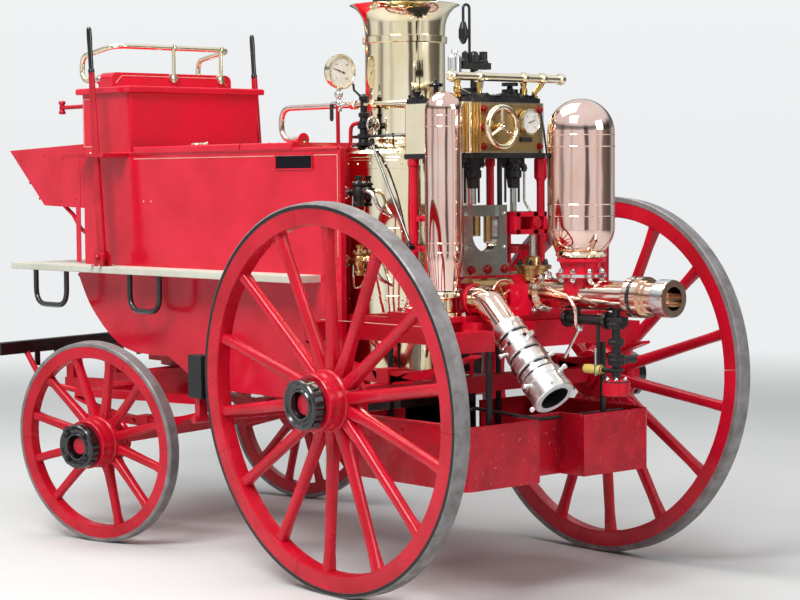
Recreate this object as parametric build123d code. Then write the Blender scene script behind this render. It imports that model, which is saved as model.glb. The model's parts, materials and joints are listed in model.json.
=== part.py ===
from build123d import *
import math
import os

# Horse-drawn steam fire engine, millimetres, +Z up.
# Side view sizes are laid out from the front axle line (x = 0) with x towards the rear, then the
# whole engine is moved by CENTRE_SHIFT so that the origin is the middle of its length on the ground.

# Wheels and axles
WHEELBASE = 1680.0
REAR_WHEEL_R = 686.0
FRONT_WHEEL_R = 405.0
REAR_TRACK_OUT = 1458.0
FRONT_TRACK_OUT = 1450.0
REAR_SPOKES = 14
FRONT_SPOKES = 12
REAR_PHASE = 8.0
FRONT_PHASE = 15.0
WHEEL_CAMBER = 3.5
PARKED_TURN = 15.0
BORE_GAP = 0.06
TYRE_SIDE = 2.0

# Boiler, chimney and fire door
BOILER_X = WHEELBASE - 384.0
BOILER_R = 235.0
BOILER_BOTTOM = 640.0
FIREBOX_WALL = 30.0
FIREBOX_TOP = 950.0
SHELL_TOP = 1525.0
SHOULDER_TOP = 1600.0
CHIMNEY_R = 151.0
CHIMNEY_BAND = 1965.0
CHIMNEY_TOP = 2098.0
FLARE_R = 208.0
STACK_R = 115.0
STACK_RISE = 52.0
CASING = 6.0
DOOR_HALF = 85.0
DOOR_Z0 = 728.0
DOOR_Z1 = 838.0
DOOR_THICK = 12.0
ASH_HALF = 190.0
ASH_FLOOR = 450.0
ASH_REACH = 178.0
ASH_WALL = 10.0

# Body
BODY_HALF = 331.0
WALL = 25.0
BODY_FRONT = -435.0
BODY_REAR = BOILER_X - BOILER_R - 31.0
WING_REAR = BOILER_X + 14.0
BODY_TOP = 1560.0
BOARD_TOP = 1090.0
BOARD_THICK = 28.0
BOARD_HALF = 452.0
PLANK_GAP = 2.0
BOARD_FRONT = -850.0
BOARD_REAR = BODY_REAR + 160.0
IRON_DROP = 150.0
IRON_HALF = 120.0
IRON_R = 11.0
BELLY_FRONT = -500.0
BELLY_FRONT_Z = 1040.0
BELLY_TOE = BODY_REAR - 600.0
BELLY_BOTTOM = 612.0
LID_THICK = 26.0
LID_LAP = 10.0
LID_GAP = 6.0
LID_REAR = BODY_REAR - 330.0
LID_SEAT = 0.3
LID_PIN_Y = 3.0
LID_PIN_R = 2.8
SEAT_REAR = -68.0
SEAT_TOP = 1815.0
LIP = 22.0
LIP_THICK = 26.0
BACK_REAR = -236.0
BACK_THICK = 100.0
BACK_HALF = 314.0
BACK_TOP = 1906.0
RAIL_HALF = 305.0
RAIL_R = 11.0
RAIL_LOW = 1877.0
RAIL_TOP = 2016.0
RAIL_FRONT = -478.0
RAIL_BEND = 45.0

# Toe board in front of the driver's seat
TOE_FRONT = -1050.0
TOE_TOP = 1585.0
TOE_FLOOR_FRONT = -760.0
TOE_FLOOR = 1340.0
TOE_WALL = 20.0

# Hand brakes
LEVER_X = -154.0
LEVER_Y = 425.0
LEVER_Z = 1128.0
LEVER_PIN_R = 8.0
LEVER_HALF = 7.0
LEVER_TOP = 1900.0
GRIP_TOP = 2092.0
EAR_OFF = 16.0
EAR_HALF = 5.0
BRAKE_Z = 560.0
BRAKE_GAP = 10.0
BLOCK_HALF_WIDTH = 32.0
BLOCK_DEEP = 84.0
BLOCK_LOW = 640.0
BLOCK_TALL = 160.0

# Frame and springs
FRAME_Z = 900.0
FRAME_DEPTH = 90.0
FRAME_THICK = 30.0
FRAME_Y = 270.0
FRAME_REAR = WHEELBASE + 400.0
FRAME_REAR_LEFT = WHEELBASE + 310.0
CROSS_REAR_X = WHEELBASE + 210.0
CROSS_WIDE = 40.0
INNER_RAIL_Y = -95.0
OUTER_BAR = 20.0
CROSS_X = WHEELBASE + 35.0
SPRING_Y = 420.0
SPRING_HALF = 450.0
SPRING_RISE = 84.0
SPRING_WIDTH = 50.0
LEAF = 11.0
BEAM_HALF = 30.0

# Fore-carriage
FIFTH_Z = 690.0
FIFTH_R = 200.0
RING_THICK = 22.0
RING_WIDE = 45.0
PLATE_GAP = 0.5
PIN_R = 20.0
PIN_GAP = 0.05
FRONT_BEAM_HALF = 26.0
FRONT_SPRING_Y = 400.0
FRONT_SPRING_HALF = 380.0
FRONT_RISE = 70.0
BED_TOP = 930.0
SPLINTER_X = -650.0
SPLINTER_Z = 742.0
SPLINTER_HALF = 600.0

# Steam cylinders
BLOCK_FRONT = WHEELBASE - 140.0
BLOCK_REAR = BLOCK_FRONT + 310.0
BLOCK_HALF = 200.0
BLOCK_ROUND = 40.0
BLOCK_BOTTOM = 1535.0
BLOCK_TOP = 1715.0
COVER_THICK = 18.0
CYL_X = WHEELBASE + 80.0
CYL_Y = 100.0
DOME_R = 78.0
GLAND_X = WHEELBASE + 95.0
GLAND_R = 31.0
ROD_R = 12.0
COLUMN_R = 15.0
COLUMN_FOOT = 2.2
COLUMN_HEAD = 1.6
COLUMN_FRONT_X = WHEELBASE - 122.0
COLUMN_FRONT_Y = 190.0
COLUMN_REAR_X = WHEELBASE + 148.0
COLUMN_REAR_Y = 188.0

# Pump, slide frame, vessels and pipes
BED_THICK = 20.0
BED_FRONT = BLOCK_FRONT - 26.0
PUMP_FRONT = WHEELBASE - 80.0
PUMP_STEP = WHEELBASE + 200.0
PUMP_REAR = WHEELBASE + 340.0
PUMP_HALF = 225.0
PUMP_TOP = 1100.0
PUMP_STEP_Y = -60.0
SLIDE_REAR = WHEELBASE + 175.0
SLIDE_THICK = 40.0
SLIDE_Y = -113.0
SLIDE_HALF = 105.0
SLIDE_TOP = 1350.0
SLOT_HALF = 63.0
SLOT_LOW = 1184.0
FOOT_RISE = 41.0
PUMP_ROD_X = WHEELBASE + 186.0
PUMP_ROD_Y = 108.0
BARREL_R = 56.0
CROSSHEAD_Z = 1243.0
CROSSHEAD_TALL = 81.0
VESSEL_X = WHEELBASE + 535.0
VESSEL_R = 116.0
VESSEL_LOW = 1168.0
VESSEL_HIGH = 1716.0
DELIVERY_END = WHEELBASE + 960.0
DELIVERY_R = 52.0
DELIVERY_Z = 1042.0
DELIVERY_BORE = 40.0
SUCTION_Y = -200.0
SUCTION_Z = 1020.0
SUCTION_R = 51.0
SUCTION_BORE = 44.0
SUCTION_TURN_X = WHEELBASE + 272.0
SUCTION_SLOPE = 44.0
SUCTION_RUN = 130.0
SUCTION_BEND = 80.0
COUPLING_LONG = 330.0
COUPLING_BORE = 50.0
TALL_X = WHEELBASE + 162.0
TALL_Y = -300.0
TALL_R = 66.0
TALL_FOOT = 1050.0
TALL_TOP = 1748.0
CROSS_PIPE_X = WHEELBASE + 130.0
CROSS_PIPE_Z = 1806.0
CROSS_PIPE_R = 15.0

# Gauge and regulator
GAUGE_X = BOILER_X - 149.0
GAUGE_Y = -200.0
GAUGE_Z = 1849.0
GAUGE_R = 66.0
WHEEL_Y = -97.0
WHEEL_Z = 1625.0
WHEEL_R = 62.0

# Rear tray
TRAY_FRONT = WHEELBASE - 190.0
TRAY_REAR = WHEELBASE + 440.0
TRAY_HALF = 456.0
TRAY_BOTTOM = 385.0
TRAY_TOP = 606.0
TRAY_WALL = 12.0
TRAY_ROUND = 30.0
NOTCH_DEEP = 120.0
NOTCH_HALF = 110.0
HANGER_R = 11.0

CENTRE_SHIFT = -(TOE_FRONT + DELIVERY_END) / 2
LEAN = math.radians(WHEEL_CAMBER)


def block(x0, x1, y0, y1, z0, z1):
    """A box between two corners."""
    return Pos((x0 + x1) / 2, (y0 + y1) / 2, (z0 + z1) / 2) * Box(x1 - x0, y1 - y0, z1 - z0)


def side_block(side, x0, x1, y_in, y_out, z0, z1):
    """A box on one side of the engine, given by its distances from the middle plane."""
    y0, y1 = sorted((side * y_in, side * y_out))
    return block(x0, x1, y0, y1, z0, z1)


def post(x, y, z0, z1, r):
    """An upright round bar."""
    return Pos(x, y, (z0 + z1) / 2) * Cylinder(r, z1 - z0)


def bar_x(x0, x1, y, z, r):
    """A round bar along X."""
    return Pos((x0 + x1) / 2, y, z) * Rot(0, 90, 0) * Cylinder(r, x1 - x0)


def bar_y(x, y0, y1, z, r):
    """A round bar along Y."""
    return Pos(x, (y0 + y1) / 2, z) * Rot(90, 0, 0) * Cylinder(r, y1 - y0)


def turned(profile):
    """A solid turned about Z from (radius, height) corners."""
    face = make_face(Polyline(*[(r, 0, z) for r, z in profile], close=True))
    return revolve(face, Axis.Z)


def plate_xz(corners, y0, y1):
    """A plate cut to (x, z) corners, reaching from y0 to y1."""
    face = make_face(Polyline(*[(x, y0, z) for x, z in corners], close=True))
    return extrude(face, amount=y1 - y0, dir=(0, 1, 0))


def pipe(points, r, radii):
    """A round tube along straight runs with an arc at each corner."""
    path = FilletPolyline(*points, radius=radii)
    return sweep(Plane(origin=path @ 0, z_dir=path % 0) * Circle(r), path)


def rounded_block(x0, x1, y0, y1, z0, z1, r):
    """An upright block with rounded vertical corners."""
    shape = block(x0, x1, y0, y1, z0, z1)
    return fillet(shape.edges().filter_by(Axis.Z), r)


def fused(pieces):
    """One solid out of touching pieces."""
    whole = pieces[0]
    for piece in pieces[1:]:
        whole = whole + piece
    return whole


def group(pieces):
    """Several separate solids that share a node."""
    return Compound(children=[solid for piece in pieces for solid in piece.solids()])


# Wheels, built about local Z, which points outwards along the axle arm, with Z = 0 at mid rim

# radius, spokes, rim width, tyre thickness, felloe depth, nave radius, arm radius
REAR_SIZE = (REAR_WHEEL_R, REAR_SPOKES, 62.0, 20.0, 60.0, 102.0, 30.0)
FRONT_SIZE = (FRONT_WHEEL_R, FRONT_SPOKES, 50.0, 18.0, 48.0, 92.0, 26.0)
NAVE_IN = -108.0
NAVE_OUT = 74.0
NAVE_RING = 24.0
NAVE_SWELL = 32.0
CAP_OUT = 130.0
CAP_R = 88.0
CAP_BORE = 44.0
SPOKE_ROOT_Z = -26.0
SPOKE_TIP_Z = -2.0
SPOKE_THICK = 34.0
AXLE_STEP = 40.0


def section(deep, thick):
    """The octagonal cross section of a spoke."""
    cut = 0.28 * thick
    a, b = thick / 2, deep / 2
    corners = [(a, b - cut), (a - cut, b), (cut - a, b), (-a, b - cut)]
    corners += [(-x, -y) for x, y in corners]
    return make_face(Polyline(*corners, close=True))


def spoke(root_r, tip_r, deep, thick):
    """One tapering octagonal spoke along local X, dished towards the rim."""
    run = tip_r - root_r
    rise = SPOKE_TIP_Z - SPOKE_ROOT_Z
    slope = math.degrees(math.atan2(rise, run))
    ends = [section(deep, thick), Pos(0, 0, math.hypot(run, rise)) * section(0.8 * deep, 0.85 * thick)]
    return Pos(root_r, 0, SPOKE_ROOT_Z) * Rot(0, 90 - slope, 0) * loft(ends)


def wheel(size, phase, missing=()):
    """The wooden wheel: nave, spokes and felloes."""
    radius, count, width, tyre, felloe, nave_r, arm_r = size
    rim_r = radius - tyre
    rim_in = rim_r - felloe
    half = width / 2
    bore = arm_r + BORE_GAP
    ring = turned([(rim_in, -half), (rim_r, -half), (rim_r, half), (rim_in, half)])
    nave = turned(
        [
            (bore, NAVE_IN),
            (0.84 * nave_r, NAVE_IN),
            (0.84 * nave_r, NAVE_IN + NAVE_RING),
            (nave_r, SPOKE_ROOT_Z - NAVE_SWELL),
            (nave_r, SPOKE_ROOT_Z + NAVE_SWELL),
            (0.93 * nave_r, SPOKE_ROOT_Z + 1.8 * NAVE_SWELL),
            (0.93 * nave_r, NAVE_OUT),
            (bore, NAVE_OUT),
        ]
    )
    deep = 46 * radius / REAR_WHEEL_R + 6
    one = spoke(0.8 * nave_r, rim_in + 6, deep, SPOKE_THICK)
    turns = [phase + 360 / count * n for n in range(count) if n not in missing]
    return fused([nave, ring] + [Rot(0, 0, turn) * one for turn in turns])


def tyre(size):
    """The flat tyre, coned so that it meets the ground along its full width."""
    radius, _, width, thick = size[:4]
    half = width / 2 + TYRE_SIDE
    cone = half * math.tan(LEAN)
    inner = radius - thick
    return turned([(inner, -half), (radius + cone, -half), (radius - cone, half), (inner, half)])


def hub_cap():
    """The cylindrical hub box, with a bore that shows the axle nut."""
    return turned([(CAP_BORE, NAVE_OUT), (CAP_R, NAVE_OUT), (CAP_R, CAP_OUT), (CAP_BORE, CAP_OUT)])


def axle_arm(size):
    """The axle arm inside a nave, with its collar and nut."""
    arm_r = size[6]
    arm = post(0, 0, NAVE_IN - 60, NAVE_OUT + 30, arm_r)
    collar = post(0, 0, NAVE_IN - 23, NAVE_IN - 5, arm_r + 22)
    nut = post(0, 0, NAVE_OUT + 8, NAVE_OUT + 32, arm_r + 6)
    return fused([arm, collar, nut])


def at_wheel(size, x, track, side):
    """The place of a wheel: side -1 is the engine's left, +1 its right."""
    radius, width = size[0], size[2]
    return Pos(x, side * (track - width) / 2, radius * math.cos(LEAN)) * Rot(-side * (90 + WHEEL_CAMBER), 0, 0)


def beam_height(size):
    """The height of an axle beam's middle, above its wheels' centres by the lean of the arms."""
    return size[0] - 0.5 + (AXLE_STEP - NAVE_IN) * math.sin(LEAN)


def axle(size, x, track, beam_half):
    """A cranked axle: square beam with an arm leaning down at each end."""
    inner = (track - size[2]) / 2 + (NAVE_IN - AXLE_STEP) * math.cos(LEAN)
    height = beam_height(size)
    beam = block(x - beam_half, x + beam_half, -inner, inner, height - beam_half, height + beam_half)
    return fused([beam] + [at_wheel(size, x, track, side) * axle_arm(size) for side in (-1, 1)])


REAR_SEAT = beam_height(REAR_SIZE) + BEAM_HALF
FRONT_SEAT = beam_height(FRONT_SIZE) + FRONT_BEAM_HALF


# Body, seat, boards

# x, z round the outside of the hose box and its belly, from the top rear forwards
BODY_SIDE = [
    (WING_REAR, BODY_TOP),
    (BODY_FRONT, BODY_TOP),
    (BODY_FRONT, BOARD_TOP),
    (BELLY_FRONT, BELLY_FRONT_Z),
    (-240.0, 920.0),
    (60.0, 785.0),
    (BELLY_TOE, BELLY_BOTTOM),
    (WING_REAR, BELLY_BOTTOM),
]


def body_side_inside():
    """The same outline, one wall thickness in."""
    return [
        (BODY_REAR - WALL, BODY_TOP + 1),
        (BODY_FRONT + WALL, BODY_TOP + 1),
        (BODY_FRONT + WALL, BOARD_TOP - 20),
        (-225.0, 955.0),
        (70.0, 815.0),
        (BELLY_TOE + 10, BELLY_BOTTOM + WALL),
        (BODY_REAR - WALL, BELLY_BOTTOM + WALL),
    ]


def body_box():
    """The hollow hose box with its cut-under belly and the wings beside the boiler."""
    inner = BODY_HALF - WALL
    shell = plate_xz(BODY_SIDE, -BODY_HALF, BODY_HALF)
    hollow = plate_xz(body_side_inside(), -inner, inner)
    bay = block(BODY_REAR, WING_REAR + 1, -inner, inner, BELLY_BOTTOM - 1, BODY_TOP + 1)
    beam = block(SEAT_REAR, BODY_REAR - WALL, -18, 18, BODY_TOP - 30, BODY_TOP)
    lap = BODY_HALF + LID_LAP
    deck = block(LID_REAR + LID_GAP, BODY_REAR, -lap, lap, BODY_TOP, BODY_TOP + LID_THICK)
    deck = fillet(deck.edges().filter_by(Axis.X).group_by(Axis.Z)[-1], 6)
    return shell - hollow - bay + beam + deck


def seat_box():
    """The driver's seat locker on the front of the hose box, with its lip and raised back."""
    z0 = BODY_TOP
    box = block(BODY_FRONT, SEAT_REAR, -BODY_HALF, BODY_HALF, z0, SEAT_TOP)
    inner = BODY_HALF - WALL
    hollow = block(BODY_FRONT + WALL, SEAT_REAR - WALL, -inner, inner, z0 + WALL, SEAT_TOP + 1)
    reach = BODY_HALF + LIP
    board = block(BODY_FRONT - LIP, SEAT_REAR + LIP, -reach, reach, SEAT_TOP, SEAT_TOP + LIP_THICK)
    board = fillet(board.edges().group_by(Axis.Z)[-1], 8)
    back = block(BACK_REAR - BACK_THICK, BACK_REAR, -BACK_HALF, BACK_HALF, SEAT_TOP + LIP_THICK, BACK_TOP)
    back = fillet(back.edges().filter_by(Axis.X).group_by(Axis.Z)[-1], 30)
    return (box - hollow) + board + back


def hose_lid(side):
    """One of the two hose box lids, with the hinge rod it turns on along its inner top edge."""
    x0, x1 = SEAT_REAR + LIP + LID_GAP, LID_REAR
    z0 = BODY_TOP + LID_SEAT
    z1 = z0 + LID_THICK
    lid = side_block(side, x0, x1, LID_PIN_Y, BODY_HALF + LID_LAP, z0, z1)
    edges = lid.edges().filter_by(Axis.X).group_by(Axis.Z)[-1].sort_by(Axis.Y)
    lid = fillet(edges[0] if side < 0 else edges[-1], 8)
    rods = [bar_x(x, x + 80, side * LID_PIN_Y, z1, LID_PIN_R) for x in (x0 + 40, x1 - 120)]
    return fused([lid] + rods)


def seat_rail():
    """The brass guard rail round the seat back: a loop at each end and two posts on round feet."""
    rear = BACK_REAR + RAIL_R
    front = BACK_REAR - BACK_THICK
    left = [
        (front, -RAIL_HALF, RAIL_LOW),
        (RAIL_FRONT, -RAIL_HALF, RAIL_LOW),
        (RAIL_FRONT + 8, -RAIL_HALF, RAIL_TOP - 34),
        (rear, -RAIL_HALF, RAIL_TOP),
    ]
    right = [(x, -y, z) for x, y, z in reversed(left)]
    rail = pipe(left + right, RAIL_R, [RAIL_BEND, RAIL_BEND, 60, 60, RAIL_BEND, RAIL_BEND])
    posts = [post(rear, y, BACK_TOP - 38, RAIL_TOP, 8) for y in (0, 250)]
    feet = [bar_x(BACK_REAR, rear, y, BACK_TOP - 18, 20) for y in (0, 250)]
    return fused([rail] + posts + feet)


def foot_boards():
    """The footboard across the front and the running boards along both sides, three planks."""
    low = BOARD_TOP - BOARD_THICK
    outer = block(BOARD_FRONT, BOARD_REAR, -BOARD_HALF, BOARD_HALF, low, BOARD_TOP)
    body = plate_xz(BODY_SIDE, -BODY_HALF, BODY_HALF)
    gap = block(BODY_FRONT, BOARD_REAR + 1, -BODY_HALF, BODY_HALF, low - 1, BOARD_TOP + 1)
    joint = block(BODY_FRONT, BODY_FRONT + PLANK_GAP, -BOARD_HALF, BOARD_HALF, low - 1, BOARD_TOP + 1)
    return outer - gap - joint - body


def board_irons():
    """The U-shaped irons that hang below the boards."""
    top = BOARD_TOP - BOARD_THICK
    low = top - IRON_DROP
    irons = []
    for side in (-1, 1):
        for x in (-585, 150):
            y = side * 420
            points = [(x + dx, y, z) for dx, z in ((-IRON_HALF, top), (-IRON_HALF, low), (IRON_HALF, low), (IRON_HALF, top))]
            irons.append(pipe(points, IRON_R, [IRON_HALF / 2, IRON_HALF / 2]))
    return group(irons)


def toe_board():
    """The driver's foot well: floor, sloping board, side cheeks and the scrolls that brace it."""
    cheek = [
        (BODY_FRONT, TOE_TOP + 20),
        (TOE_FRONT, TOE_TOP),
        (TOE_FLOOR_FRONT, TOE_FLOOR),
        (BODY_FRONT, TOE_FLOOR - 10),
    ]
    inside = [
        (BODY_FRONT, TOE_TOP + 60),
        (TOE_FRONT + 26, TOE_TOP + 60),
        (TOE_FRONT + 26, TOE_TOP),
        (TOE_FLOOR_FRONT + 8, TOE_FLOOR + TOE_WALL),
        (BODY_FRONT, TOE_FLOOR + TOE_WALL),
    ]
    well = plate_xz(cheek, -BODY_HALF, BODY_HALF) - plate_xz(inside, TOE_WALL - BODY_HALF, BODY_HALF - TOE_WALL)
    foot, drop = BODY_FRONT - 8, TOE_FLOOR - 130
    scrolls = []
    for side in (-1, 1):
        y = side * 300
        route = [(foot, y, drop), (foot - 70, y, drop + 30), (foot - 130, y, TOE_FLOOR - 40), (foot - 210, y, TOE_FLOOR + 4)]
        scrolls.append(pipe(route, 9, [25, 40]) + bar_x(foot - 8, BODY_FRONT, y, drop, 16))
    return fused([well] + scrolls)


def lamp_brackets():
    """A stud with a T end at each front corner of the seat, for a lamp."""
    studs = []
    for side in (-1, 1):
        y, z = side * 300, SEAT_TOP - 47
        studs.append(bar_x(-660, BODY_FRONT, y, z, 9) + post(-650, y, z - 28, z + 28, 9))
    return group(studs)


def lever_stands():
    """Foot bracket and guide strap for each brake lever."""
    stands = []
    for side in (-1, 1):
        y = side * LEVER_Y
        ears = [
            block(LEVER_X - 36, LEVER_X + 36, y + off - EAR_HALF, y + off + EAR_HALF, BOARD_TOP, LEVER_Z + 24)
            for off in (-EAR_OFF, EAR_OFF)
        ]
        ears = [fillet(ear.edges().filter_by(Axis.Y).group_by(Axis.Z)[-1], 20) for ear in ears]
        pin = bar_y(LEVER_X, y - EAR_OFF - EAR_HALF - 3, y + EAR_OFF + EAR_HALF + 3, LEVER_Z, LEVER_PIN_R)
        stands.append(fused(ears + [pin]))
        slot = block(-390, -100, y - 20, y + 20, 1540, 1565)
        stands.append(side_block(side, -402, -88, BODY_HALF, 456, 1545, 1560) - slot)
    return group(stands)


def brake_lever(side):
    """One hand brake: a flat red lever with its black grip."""
    y = side * LEVER_Y
    foot, head = 18, 14
    lean = (LEVER_X - 18, LEVER_X + 18)
    bar = plate_xz(
        [(lean[0], LEVER_Z - 20), (lean[1], LEVER_Z - 20), (LEVER_X - 60 + head, LEVER_TOP), (LEVER_X - 60 - head, LEVER_TOP)],
        y - LEVER_HALF,
        y + LEVER_HALF,
    )
    bar = bar - bar_y(LEVER_X, y - foot, y + foot, LEVER_Z, LEVER_PIN_R + PIN_GAP)
    tilt = math.degrees(math.atan2(60, LEVER_TOP - LEVER_Z))
    grip = turned([(0, 0), (15, 0), (17, 14), (13, 40), (16, 110), (13, GRIP_TOP - LEVER_TOP), (0, GRIP_TOP - LEVER_TOP)])
    return bar + Pos(LEVER_X - 60, y, LEVER_TOP) * Rot(0, -tilt, 0) * grip


# Under gear


def leaf_spring(x, y, seat, half, rise, leaves):
    """A stack of curved leaves, longest on top, resting on its seat, with a clamp round its middle."""
    stack = []
    for n in range(leaves):
        reach = half * (1 - 0.22 * (leaves - 1 - n))
        low = seat + n * LEAF
        lift = rise * (reach / half) ** 2
        lower = ThreePointArc((x - reach, 0, low + lift), (x, 0, low), (x + reach, 0, low + lift))
        upper = ThreePointArc(
            (x + reach, 0, low + lift + LEAF), (x, 0, low + LEAF), (x - reach, 0, low + lift + LEAF)
        )
        ends = [Line(lower @ 1, upper @ 0), Line(upper @ 1, lower @ 0)]
        face = make_face(Curve() + [lower, upper] + ends)
        stack.append(Pos(0, y - SPRING_WIDTH / 2, 0) * extrude(face, amount=SPRING_WIDTH, dir=(0, 1, 0)))
    reach = SPRING_WIDTH / 2 + 8
    stack.append(block(x - 32, x + 32, y - reach, y + reach, seat + 1, seat + leaves * LEAF + 10))
    return fused(stack)


def rear_springs():
    """Two leaf springs between the rear axle and the frame."""
    return group([leaf_spring(WHEELBASE, side * SPRING_Y, REAR_SEAT, SPRING_HALF, SPRING_RISE, 4) for side in (-1, 1)])


def hanger_z():
    """The level at which the spring hangers start, over the ends of the rear springs."""
    return REAR_SEAT + SPRING_RISE + 4 * LEAF


def frame():
    """Side rails with cross members, a short inner rail that leaves room for the suction pipe on the
    left, the boiler's pads and the spring hangers.
    """
    z0, z1 = FRAME_Z - FRAME_DEPTH / 2, FRAME_Z + FRAME_DEPTH / 2
    y_in, y_out = FRAME_Y - FRAME_THICK / 2, FRAME_Y + FRAME_THICK / 2
    hang = hanger_z()
    reach = SPRING_Y + SPRING_WIDTH / 2
    rear_end = WHEELBASE + SPRING_HALF - 100
    pieces, ears = [], []
    for side, end in ((-1, FRAME_REAR_LEFT), (1, FRAME_REAR)):
        pieces.append(side_block(side, BODY_REAR, end, y_in, y_out, z0, z1))
        pieces.append(side_block(side, rear_end, rear_end + 50, y_out, reach, hang, hang + 70))
        pad = side_block(side, BOILER_X - 50, BOILER_X + 50, BOILER_R - 12, y_in, z0 + 10, z1 - 10)
        pieces.append(pad - post(BOILER_X, 0, z0, z1, BOILER_R))
        front_end = WHEELBASE - SPRING_HALF
        ears.append(side_block(side, front_end, front_end + 50, BODY_HALF, reach, hang, hang + 70))
    for x in (CROSS_X, CROSS_REAR_X):
        pieces.append(block(x, x + CROSS_WIDE, -y_in, y_in, z0, z1))
    pieces.append(side_block(-1, FRAME_REAR_LEFT - 50, FRAME_REAR, y_out, y_out + OUTER_BAR, hang, hang + 70))
    pieces.append(block(CROSS_REAR_X, FRAME_REAR, INNER_RAIL_Y, INNER_RAIL_Y + FRAME_THICK, z0, z1))
    pieces.append(block(FRAME_REAR - CROSS_WIDE, FRAME_REAR, INNER_RAIL_Y, y_in, z0, z1))
    return group([fused(pieces)] + ears)


def rear_axle():
    """The cranked rear axle."""
    return axle(REAR_SIZE, WHEELBASE, REAR_TRACK_OUT, BEAM_HALF)


# Fore-carriage, built straight ahead and then turned to its parked angle


def parked(shape):
    """A piece of the fore-carriage, turned as the engine stands."""
    return Rot(0, 0, PARKED_TURN) * shape


def front_axle():
    """The cranked front axle."""
    return parked(axle(FRONT_SIZE, 0, FRONT_TRACK_OUT, FRONT_BEAM_HALF))


def front_springs():
    """Two leaf springs on the front axle."""
    rows = [leaf_spring(0, s * FRONT_SPRING_Y, FRONT_SEAT, FRONT_SPRING_HALF, FRONT_RISE, 3) for s in (-1, 1)]
    return parked(group(rows))


def turntable_ring(z0):
    """One ring of the turntable, standing on a level."""
    return Pos(0, 0, z0 + RING_THICK / 2) * (Cylinder(FIFTH_R, RING_THICK) - Cylinder(FIFTH_R - RING_WIDE, RING_THICK))


def splinter_beam():
    """The straight beam of the splinter bar."""
    x, z = SPLINTER_X, SPLINTER_Z
    return block(x - 24, x + 24, -SPLINTER_HALF, SPLINTER_HALF, z - 26, z + 26)


def fore_frame():
    """Side bars over the springs, the bolster, the futchells and the lower ring."""
    low = FRONT_SEAT + FRONT_RISE + 3 * LEAF
    reach = FRONT_SPRING_Y + 22
    pieces = []
    for side in (-1, 1):
        pieces.append(side_block(side, -FRONT_SPRING_HALF, FRONT_SPRING_HALF, reach - 44, reach, low, low + 34))
        pieces.append(side_block(side, SPLINTER_X - 30, 120, 120, 160, low, low + 45))
        foot = (-FRONT_SPRING_HALF + 20, side * FRONT_SPRING_Y, low + 20)
        head = (SPLINTER_X, side * 440, SPLINTER_Z)
        pieces.append(pipe([foot, (SPLINTER_X + 90, side * 425, low + 50), head], 12, [40]))
        pieces.append(side_block(side, SPLINTER_X - 20, SPLINTER_X + 20, 120, 160, low + 45, SPLINTER_Z - 26))
    pieces.append(block(-45, 45, -reach, reach, low + 10, FIFTH_Z - RING_THICK))
    pieces.append(block(-330, -270, -FRONT_SPRING_Y, FRONT_SPRING_Y, low, low + 34))
    bar = block(-45, 45, 5 - FIFTH_R, FIFTH_R - 5, FIFTH_Z - RING_THICK, FIFTH_Z)
    pieces.append(turntable_ring(FIFTH_Z - RING_THICK) + bar)
    whole = fused(pieces) - post(0, 0, low - 50, FIFTH_Z + 1, PIN_R + PIN_GAP) - splinter_beam()
    return parked(whole)


def splinter_bar():
    """The black bar across the front that the traces pull on, with its hanging straps."""
    front = SPLINTER_X - 24
    hooks = [
        side_block(side, front - 10, front, y - 14, y + 14, SPLINTER_Z - 90, SPLINTER_Z + 10)
        for side in (-1, 1)
        for y in (210, 330)
    ]
    return parked(fused([splinter_beam()] + hooks))


def top_plate():
    """The fixed half of the turntable: ring, king pin and the bolster under the belly."""
    z0 = FIFTH_Z + PLATE_GAP
    reach = FIFTH_R + 40
    bed = block(-95, 95, -reach, reach, z0, BED_TOP) - plate_xz(BODY_SIDE, -BODY_HALF, BODY_HALF)
    pin = post(0, 0, FRONT_SEAT + 60, z0 + 10, PIN_R)
    return fused([turntable_ring(z0), bed, pin])


# Boiler, chimney and fire door


def boiler_shell():
    """The brass-lagged boiler barrel with its firebox and door hole."""
    barrel = turned([(0, BOILER_BOTTOM), (BOILER_R, BOILER_BOTTOM), (BOILER_R, SHELL_TOP), (0, SHELL_TOP)])
    inner = BOILER_R - FIREBOX_WALL
    box = turned([(0, BOILER_BOTTOM - 1), (inner, BOILER_BOTTOM - 1), (inner, FIREBOX_TOP), (0, FIREBOX_TOP + 40)])
    edge = 12
    hole = block(100, BOILER_R + 10, edge - DOOR_HALF, DOOR_HALF - edge, DOOR_Z0 + edge, DOOR_Z1 - edge)
    half = DOOR_HALF + edge
    flat = block(BOILER_R - 20, BOILER_R + edge, -half, half, DOOR_Z0 - 14, DOOR_Z1 + 14)
    return Pos(BOILER_X, 0, 0) * (barrel + flat - box - hole)


def fire_door():
    """The fire door flap, hung from its top edge."""
    x = BOILER_X + BOILER_R + 12.5
    door = block(x, x + DOOR_THICK, -DOOR_HALF, DOOR_HALF, DOOR_Z0, DOOR_Z1)
    knob = bar_x(x + DOOR_THICK, x + DOOR_THICK + 28, 0, DOOR_Z0 + 22, 8)
    return door + knob + bar_y(x + DOOR_THICK / 2, -DOOR_HALF, DOOR_HALF, DOOR_Z1, DOOR_THICK / 2)


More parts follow.
